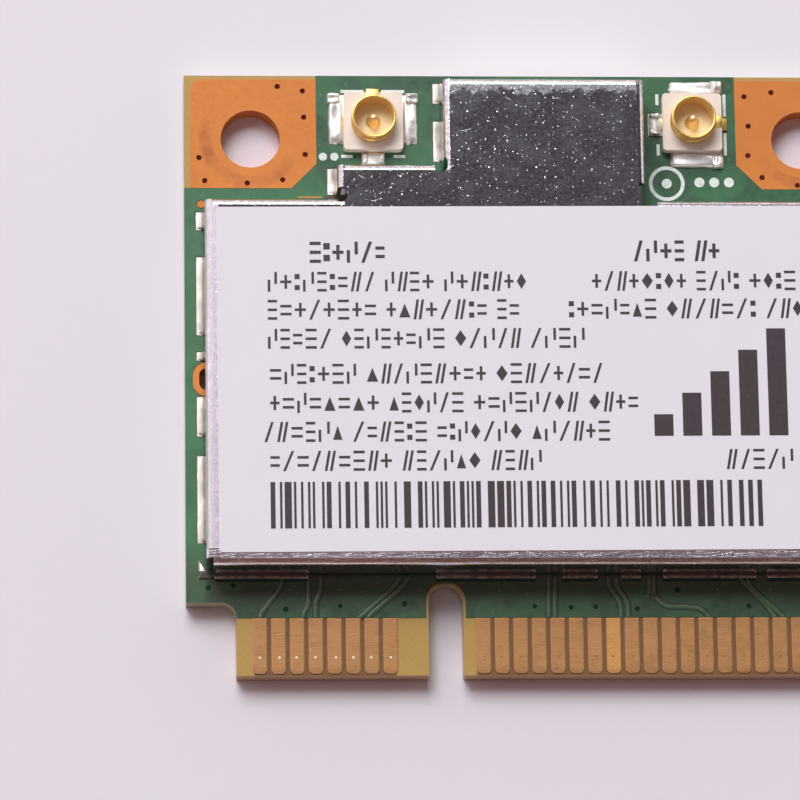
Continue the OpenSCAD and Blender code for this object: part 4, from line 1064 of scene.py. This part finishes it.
def patch_lump(lo, hi, height):
    """Solder on the right-angled corner patch: its outline drawn to its inner middle by
    a share s, at the height (1 - s^3)^(1/2) of the full one."""
    corners = np.array([lo[:2], (hi[0], lo[1]), (lo[0], hi[1])])
    t = np.linspace(0, 1, 9)[:-1, None]
    sides = zip(corners, np.roll(corners, -1, 0))
    line = np.concatenate([(1 - t) * a + t * b for a, b in sides])
    middle = corners.mean(0)
    s = np.linspace(1, 0.02, 9)[:, None, None]
    xy = middle + (line - middle) * s
    z = BOARD_TOP + height * np.sqrt(1 - s**3) + 0 * xy[..., :1]
    return capped(np.concatenate([xy, z], -1))


class CARD_OT_shield(Operator):
    """Shield: formed sheet, and solder beads along its feet"""

    bl_idname = "card.shield"
    bl_label = "Shield and its solder"

    def execute(self, context):
        sizes = context.scene.card_sizes
        rng = np.random.default_rng(sizes.seed + 1)
        formed_copy("shield_can", "sheet", 35)
        formed_copy("leg_slot_plating", "copper", 35)
        dress("shield_pads", "pad")
        w0, h0 = sizes.bead_w / MM, sizes.bead_h / MM
        beads, patch = [], []
        for lo, hi in feet_of_shield():
            middle, size = (lo + hi) / 2, hi - lo
            if size[2] < 0.15:
                patch.append(patch_lump(lo - [0.03, 0.03, 0], hi + [0.1, 0.1, 0], 0.2))
            elif size[0] > size[1]:
                out = 1 if abs(middle[1] - CAN_LO[1]) > 1 else -1
                y = lo[1] if out > 0 else hi[1]
                wide = w0 if out > 0 else 0.6 * w0
                beads.append(bead((lo[0], y), (hi[0], y), (0, out), rng, wide, h0))
            else:
                out = 1 if middle[0] > 0 else -1
                x = lo[0] if out > 0 else hi[0]
                beads.append(bead((x, lo[1]), (x, hi[1]), (out, 0), rng, w0, h0))
        shape = merge(join_grids(beads), join_grids(patch))
        make_piece("shield_beads", shape, "solder", 60, "shield_solder")
        return {"FINISHED"}


# ---------------------------------------------------------------- label

# Rows of marks: left end, right end, foot and top, in millimetres on the card.
MARK_ROWS = (
    (-9.62, -6.31, 4.34, 5.28), (4.42, 8.14, 4.37, 5.30),
    (-11.45, 0.47, 3.06, 3.93), (2.57, 11.9, 3.06, 3.93),
    (-11.46, -0.29, 1.81, 2.69), (1.54, 12.2, 1.81, 2.69),
    (-11.47, 2.23, 0.52, 1.40), (-11.40, 2.93, -1.04, -0.16),
    (-11.41, 4.42, -2.32, -1.44), (-11.67, 3.57, -3.60, -2.72),
    (-11.43, 0.66, -4.88, -4.00), (8.17, 11.4, -4.88, -4.00),
)
STRIPES = (-11.44, 9.76, -7.39, -5.36)
RISING, RISING_N, RISING_W = (5.1, 11.3, -3.4, 1.35), 5, 0.82
# The label's turn on the shield, in degrees, and how often each kind of mark comes.
LABEL_TURN = 0.25
MARK_SHARES = (0.15, 0.13, 0.14, 0.12, 0.07, 0.09, 0.1, 0.06, 0.14)


def mark(kind, x, y, b, h, w):
    """One plain mark in a cell b wide and h high at x, y, with strokes w wide: slashes,
    dashes, dots, a lozenge, a cross, a wedge or staggered ticks. None is a letter."""
    mid = x + b / 2
    if kind == 0:
        return [[(x, y), (x + w, y), (x + b, y + h), (x + b - w, y + h)]]
    if kind == 1:
        return [
            [(a, y), (a + w, y), (a + w + b / 3, y + h), (a + b / 3, y + h)]
            for a in (x, x + 2 * w)
        ]
    if kind == 2:
        return [oblong(x, a, x + b, a + w) for a in (y, y + 0.5 * (h - w), y + (h - w))]
    if kind == 3:
        return [oblong(x, y + k * h, x + b, y + k * h + w) for k in (0.22, 0.62)]
    if kind == 4:
        return [oblong(mid - w, y + k * h, mid + w, y + k * h + 2 * w) for k in (0.08, 0.64)]
    if kind == 5:
        return [[(mid, y + 0.1 * h), (x + b, y + h / 2), (mid, y + 0.9 * h), (x, y + h / 2)]]
    if kind == 6:
        half = h / 2
        return [
            oblong(x, y + half - w / 2, x + b, y + half + w / 2),
            oblong(mid - w / 2, y + 0.15 * h, mid + w / 2, y + half - w / 2),
            oblong(mid - w / 2, y + half + w / 2, mid + w / 2, y + 0.85 * h),
        ]
    if kind == 7:
        foot, tip = y + 0.1 * h, (mid, y + 0.8 * h)
        return [[(x, foot), (x + b, foot), tip, tip]]
    return [oblong(x, y, x + w, y + 0.6 * h), oblong(x + b - w, y + 0.4 * h, x + b, y + h)]


def row_marks(x0, x1, y0, y1, w, rng):
    """Plain marks that fill a row, in runs of uneven length with gaps between the runs."""
    out, x, last = [], x0, -1
    left = rng.integers(4, 10)
    while x < x1 - 0.35:
        kind = rng.choice(range(9), p=MARK_SHARES)
        if kind == last:
            continue
        last = kind
        b = min(0.22 if kind == 4 else rng.choice([0.4, 0.48]), x1 - x)
        out += mark(kind, x, y0, b, y1 - y0, w)
        x += b + 0.14
        left -= 1
        if left == 0:
            x += 0.32
            left = rng.integers(4, 10)
    return out


class CARD_OT_label(Operator):
    """Label: white film, rows of plain marks, a striped field and rising bars"""

    bl_idname = "card.label"
    bl_label = "Label and its print"

    def execute(self, context):
        sizes = context.scene.card_sizes
        rng = np.random.default_rng(sizes.seed + 2)
        dress("shield_label", "label")
        quads = []
        for row in MARK_ROWS:
            wide = 0.14 if row in MARK_ROWS[:2] else sizes.mark_w / MM
            quads += row_marks(*row, wide, rng)
        x0, x1, y0, y1 = STRIPES
        x = x0
        while x < x1:
            w = 0.1 * rng.choice([1, 1, 2, 2, 3])
            quads.append(oblong(x, y0, min(x + w, x1), y1))
            x += w + 0.1 * rng.choice([1, 1, 2, 2, 3])
        x0, x1, y0, y1 = RISING
        step, rise = (x1 - x0) / RISING_N, (y1 - y0) / RISING_N
        for i in range(RISING_N):
            a = x0 + i * step
            quads.append(oblong(a, y0, a + RISING_W, y0 + rise * (i + 1)))
        top = LABEL_HI[2]
        points, faces = prisms(quads, top - 0.003, top + sizes.print_h / MM)
        turn = math.radians(LABEL_TURN)
        c, s = math.cos(turn), math.sin(turn)
        middle = ((LABEL_LO + LABEL_HI) / 2)[:2]
        points[:, :2] = (points[:, :2] - middle) @ np.array([[c, s], [-s, c]]) + middle
        make_piece("print_marks", (points, faces), "ink", None, "label_print")
        return {"FINISHED"}


# ---------------------------------------------------------------- board

# Tracks under the mask as corners of their middle lines, in millimetres on the card.
TRACKS = (
    ((-11.82, -10.86), (-11.79, -10.66), (-11.31, -10.06), (-10.9, -9.46), (-10.9, -9.1)),
    ((-10.01, -10.86), (-9.96, -10.66), (-9.76, -10.34), (-9.75, -9.1)),
    ((-9.46, -10.86), (-9.44, -10.57), (-9.46, -10.21), (-9.21, -9.7), (-9.21, -9.1)),
    ((-7.54, -10.86), (-7.34, -10.67), (-6.15, -9.61), (-5.8, -9.1)),
    ((-7.18, -10.86), (-7.03, -10.67), (-5.79, -9.61), (-5.42, -9.1)),
    ((0.57, -10.86), (0.61, -9.1)),
    ((0.84, -10.86), (0.88, -9.1)),
    ((3.68, -10.86), (3.70, -10.24), (3.17, -9.49), (3.19, -9.1)),
    ((4.00, -10.86), (4.01, -10.19), (3.50, -9.49), (3.51, -9.1)),
    ((4.93, -9.84), (4.94, -9.1)),
    ((5.14, -9.84), (5.15, -9.1)),
    ((5.19, -9.99), (5.60, -10.41), (6.53, -10.41), (7.17, -10.49), (7.5, -10.86)),
    ((8.8, -9.1), (9.97, -10.35), (10.35, -10.86)),
    ((9.15, -9.1), (9.35, -9.6), (10.72, -10.86)),
)
# Vias under the mask: the wide ones are dark, the narrow ones only glint.
WIDE_VIAS = (
    (-10.73, -10.50), (-8.38, -10.35), (-5.62, -10.26), (1.54, -10.43), (2.59, -10.41),
    (-0.02, -10.38), (9.23, -10.40), (6.16, -9.69), (-12.99, -9.45), (-14.05, -9.55),
    (4.4, -10.5), (11.9, -10.2), (12.9, -9.6),
)
FINE_VIAS = (
    (-10.54, -9.65), (-8.37, -9.65), (-6.74, -9.36), (-7.42, -9.75), (-1.53, -9.68),
    (-0.34, -9.88), (-1.79, -10.68), (7.90, -9.65), (4.86, -9.94), (10.19, -9.65),
    (-4.95, -9.7), (-7.9, 13.0), (-2.9, 12.98), (-9.0, 12.5), (-4.6, 12.6), (-4.55, 11.9),
    (-4.6, 10.7), (-9.05, 10.2), (9.0, 12.9), (5.6, 12.7), (8.9, 9.6), (5.7, 9.2),
    (-8.3, 7.75), (-12.2, 7.8),
)


def dimple(x, y, r, rise):
    """A small ring of film round a via, highest at 0.6 of its radius."""
    a = np.linspace(0, math.pi, 7)
    ring = [(0.6 * r + 0.4 * r * math.cos(t), MASK_TOP + rise * math.sin(t)) for t in a]
    base = [(0.0, MASK_TOP - 0.01), (r, MASK_TOP - 0.01)]
    return lathe(base + ring + [(0.0, MASK_TOP + 0.002)], (x, y, 0), 20)


class CARD_OT_board(Operator):
    """Board: laminate, green mask, copper lands, contacts, tracks and filled vias"""

    bl_idname = "card.board"
    bl_label = "Board, tracks and vias"

    def execute(self, context):
        sizes = context.scene.card_sizes
        rng = np.random.default_rng(sizes.seed + 3)
        for node, key in (
            ("board_core", "laminate"), ("solder_mask_top", "mask"),
            ("solder_mask_bottom", "mask"), ("contacts_top", "contact"),
            ("contacts_bottom", "contact"), ("silkscreen_marks", "white_ink"),
            ("test_pads_bottom", "pad"),
        ):
            dress(node, key)
        for side in ("left", "right"):
            formed_copy(side + "_screw_ground", "copper", 35)
        w, h, gap = sizes.track_w / MM, sizes.track_h / MM, sizes.track_gap / MM
        for name, wide, high, key in (
            ("mask_gaps", w + 2 * gap, 0.3 * h, "gap"), ("mask_tracks", w, h, "track")
        ):
            lines = [round_corners(track, 0.35) for track in TRACKS]
            ridges = [capped(carry(line, wide, high, MASK_TOP)) for line in lines]
            make_piece(name, join_grids(ridges), key, 60)
        for name, places, r, key in (
            ("wide_vias", WIDE_VIAS, 0.11, "tent"), ("fine_vias", FINE_VIAS, 0.07, "track")
        ):
            rings = [dimple(*place, r * (0.9 + 0.2 * rng.random()), 0.012) for place in places]
            make_piece(name, join_grids(rings, close_u=True), key, 50)
        a = np.linspace(math.pi / 2, 0, 5)
        bowl = [(0.15 * math.cos(t), BOARD_TOP - 0.006 - 0.02 * math.sin(t)) for t in a]
        plug = bowl + [(0.15, BOARD_TOP - 0.12), (0.0, BOARD_TOP - 0.12)]
        plugs = [
            lathe(plug, (x, y, 0), 24)
            for side in ("left", "right")
            for x, y in small_holes(side + "_screw_ground", BOARD_TOP, 0.5)
        ]
        make_piece("via_plugs", join_grids(plugs, close_u=True), "via", 50)
        # A line of bare copper shows behind the shield.
        sliver = oblong(-10.04, CAN_REAR_LEFT + 0.61, -8.99, CAN_REAR_LEFT + 0.66)
        sliver = prisms([sliver], MASK_TOP - 0.02, MASK_TOP + 0.003)
        make_piece("bare_line", sliver, "copper", None)
        return {"FINISHED"}


class CARD_OT_inside(Operator):
    """Parts under the shield"""

    bl_idname = "card.inside"
    bl_label = "Parts under the shield"

    def execute(self, context):
        for node, key in (
            ("radio_chip", "chip"), ("radio_chip_terminals", "tin"),
            ("crystal_base", "pale"), ("crystal_lid", "tin"), ("memory_chip", "chip"),
            ("supply_regulator", "chip"), ("power_inductor", "ferrite"),
            ("front_end_modules", "chip"), ("balun_filters", "pale"),
            ("capacitor_bodies", "tan"), ("capacitor_ends", "tin"),
            ("resistor_bodies", "glaze"), ("resistor_ends", "tin"), ("component_pads", "pad"),
        ):
            dress(node, key)
        return {"FINISHED"}


# ---------------------------------------------------------------- stage


TABLE_HALF = 1.6
LAMP_SIDE = Vector((-0.25, 0.78, 1.0))
LAMP_COLOUR = (0.96, 1.0, 1.03)
SKY_BEFORE, SKY_LOW_BEFORE = (1.17, 0.92, 1.0), (1.55, 0.77, 0.6)
SKY_ABOVE, SKY_AROUND = (1.09, 0.96, 1.1), (1.04, 0.975, 0.94)
CAMERA_PLACE = Vector((-19.999, -61.457, 244.025))
CAMERA_RIGHT = Vector((0.998373, -0.013470, 0.055403))
CAMERA_BACK = Vector((-0.057017, -0.240050, 0.969085))


class CARD_OT_stage(Operator):
    """Table, soft box, sky and the camera at the photograph's angle"""

    bl_idname = "card.stage"
    bl_label = "Table, lamps and camera"

    def execute(self, context):
        scene, stage = context.scene, context.scene.card_stage
        paper = scene.card_colours.paper
        scene.view_settings.view_transform = "Standard"

        side = np.linspace(-TABLE_HALF, TABLE_HALF, 9)
        x, y = np.meshgrid(side, side, indexing="ij")
        points = np.stack([x, y, np.full_like(x, -1e-5)], -1).reshape(-1, 3)
        mesh = bpy.data.meshes.new("table")
        mesh.from_pydata(points.tolist(), [], grid_faces(9, 9)[:, ::-1].tolist())
        finish, r, s, p = start_finish("table_top", 0.7)
        fibre = r.clouds(p, 0.5, 4.0, 1.0)
        broad = r.clouds(p, 14.0, 3.0, 1.0)
        base = r.mix(fibre, shade(paper, 0.985), shade(paper, 1.015))
        r.put(s["Base Color"], r.mix(broad * 0.5, base, shade(paper, 0.97)))
        mesh.materials.append(finish)
        table = bpy.data.objects.new("table", mesh)
        scene.collection.objects.link(table)

        light = bpy.data.lights.new("soft_box", "AREA")
        light.energy = stage.key_power
        light.color = LAMP_COLOUR
        light.size = stage.key_side
        lamp = bpy.data.objects.new("soft_box", light)
        towards = LAMP_SIDE.normalized()
        lamp.location = towards * stage.key_far
        lamp.rotation_euler = towards.to_track_quat("Z", "Y").to_euler()
        scene.collection.objects.link(lamp)

        # The sky is dim and cool overhead, bright and neutral low down behind and beside the
        # card, higher up on its left, dark low down before it, and has a narrow pale band high
        # up before it.
        world = bpy.data.worlds.new("studio")
        world.use_nodes = True
        world.node_tree.nodes.clear()
        r = Recipe(world.node_tree)
        x, y, z = r.split(r.feed("ShaderNodeTexCoord", output="Generated"))
        lift = r.fit(x, -0.15, -0.38) * r.fit(y, -0.05, 0.1)
        lower = lift * -0.43 + z
        low = r.fit(lower, 0.66, 0.3) * r.fit(y, -0.2, 0.22, 0.05, 1.0)
        high = r.fit(z, 0.87, 0.92) * r.fit(z, 0.99, 0.965) * r.fit(y, -0.1, -0.22)
        high = high * r.fit(x, 0.5, -0.5, 0.6, 1.0)
        strength = high * stage.front + (low * stage.horizon + stage.sky)
        before = r.mix(r.fit(z, 0.9, 0.8), SKY_BEFORE, SKY_LOW_BEFORE)
        above = r.mix(r.fit(y, 0.12, -0.12), SKY_ABOVE, before)
        around = r.fit(z, 0.7, 0.5) * r.fit(y, -0.2, 0.1)
        colour = r.mix(around, above, SKY_AROUND)
        back = r.feed("ShaderNodeBackground", (colour, strength))
        r.add("ShaderNodeOutputWorld", [back])
        scene.world = world

        lens = bpy.data.cameras.new("photo_camera")
        lens.sensor_width = 36
        lens.lens = stage.lens / MM
        lens.clip_start, lens.clip_end = 0.02, 20
        camera = bpy.data.objects.new("photo_camera", lens)
        up = CAMERA_BACK.cross(CAMERA_RIGHT).normalized()
        right = up.cross(CAMERA_BACK).normalized()
        turn = Matrix((right, up, CAMERA_BACK.normalized())).transposed()
        camera.matrix_world = Matrix.Translation(CAMERA_PLACE * MM) @ turn.to_4x4()
        scene.collection.objects.link(camera)
        scene.camera = camera
        return {"FINISHED"}


class CARD_PT_panel(Panel):
    """Sizes, colours and steps of the card."""

    bl_idname = "CARD_PT_panel"
    bl_label = "Wifi card"
    bl_space_type = "VIEW_3D"
    bl_region_type = "UI"
    bl_category = "Wifi card"

    def draw(self, context):
        for name, _ in GROUPS:
            group, box = getattr(context.scene, name), self.layout.box()
            for key in group.__annotations__:
                box.prop(group, key)
        for step in STEPS:
            self.layout.operator(step.bl_idname)


STEPS = (
    CARD_OT_board, CARD_OT_shield, CARD_OT_label, CARD_OT_receptacles, CARD_OT_inside,
    CARD_OT_stage,
)
GROUPS = (
    ("card_colours", CardColours), ("card_sizes", CardSizes), ("card_stage", CardStage),
)


def register():
    for _, group in GROUPS:
        bpy.utils.register_class(group)
    for step in (*STEPS, CARD_PT_panel):
        bpy.utils.register_class(step)
    for name, group in GROUPS:
        setattr(bpy.types.Scene, name, PointerProperty(type=group))


def unregister():
    for name, _ in GROUPS:
        delattr(bpy.types.Scene, name)
    for step in (CARD_PT_panel, *reversed(STEPS)):
        bpy.utils.unregister_class(step)
    for _, group in reversed(GROUPS):
        bpy.utils.unregister_class(group)


def main():
    register()
    build_effects()
    FINISH.update(make_finishes(bpy.context.scene.card_colours))
    bpy.ops.card.board()
    bpy.ops.card.shield()
    bpy.ops.card.label()
    bpy.ops.card.receptacles()
    bpy.ops.card.inside()
    bpy.ops.card.stage()


if __name__ == "__main__":
    main()
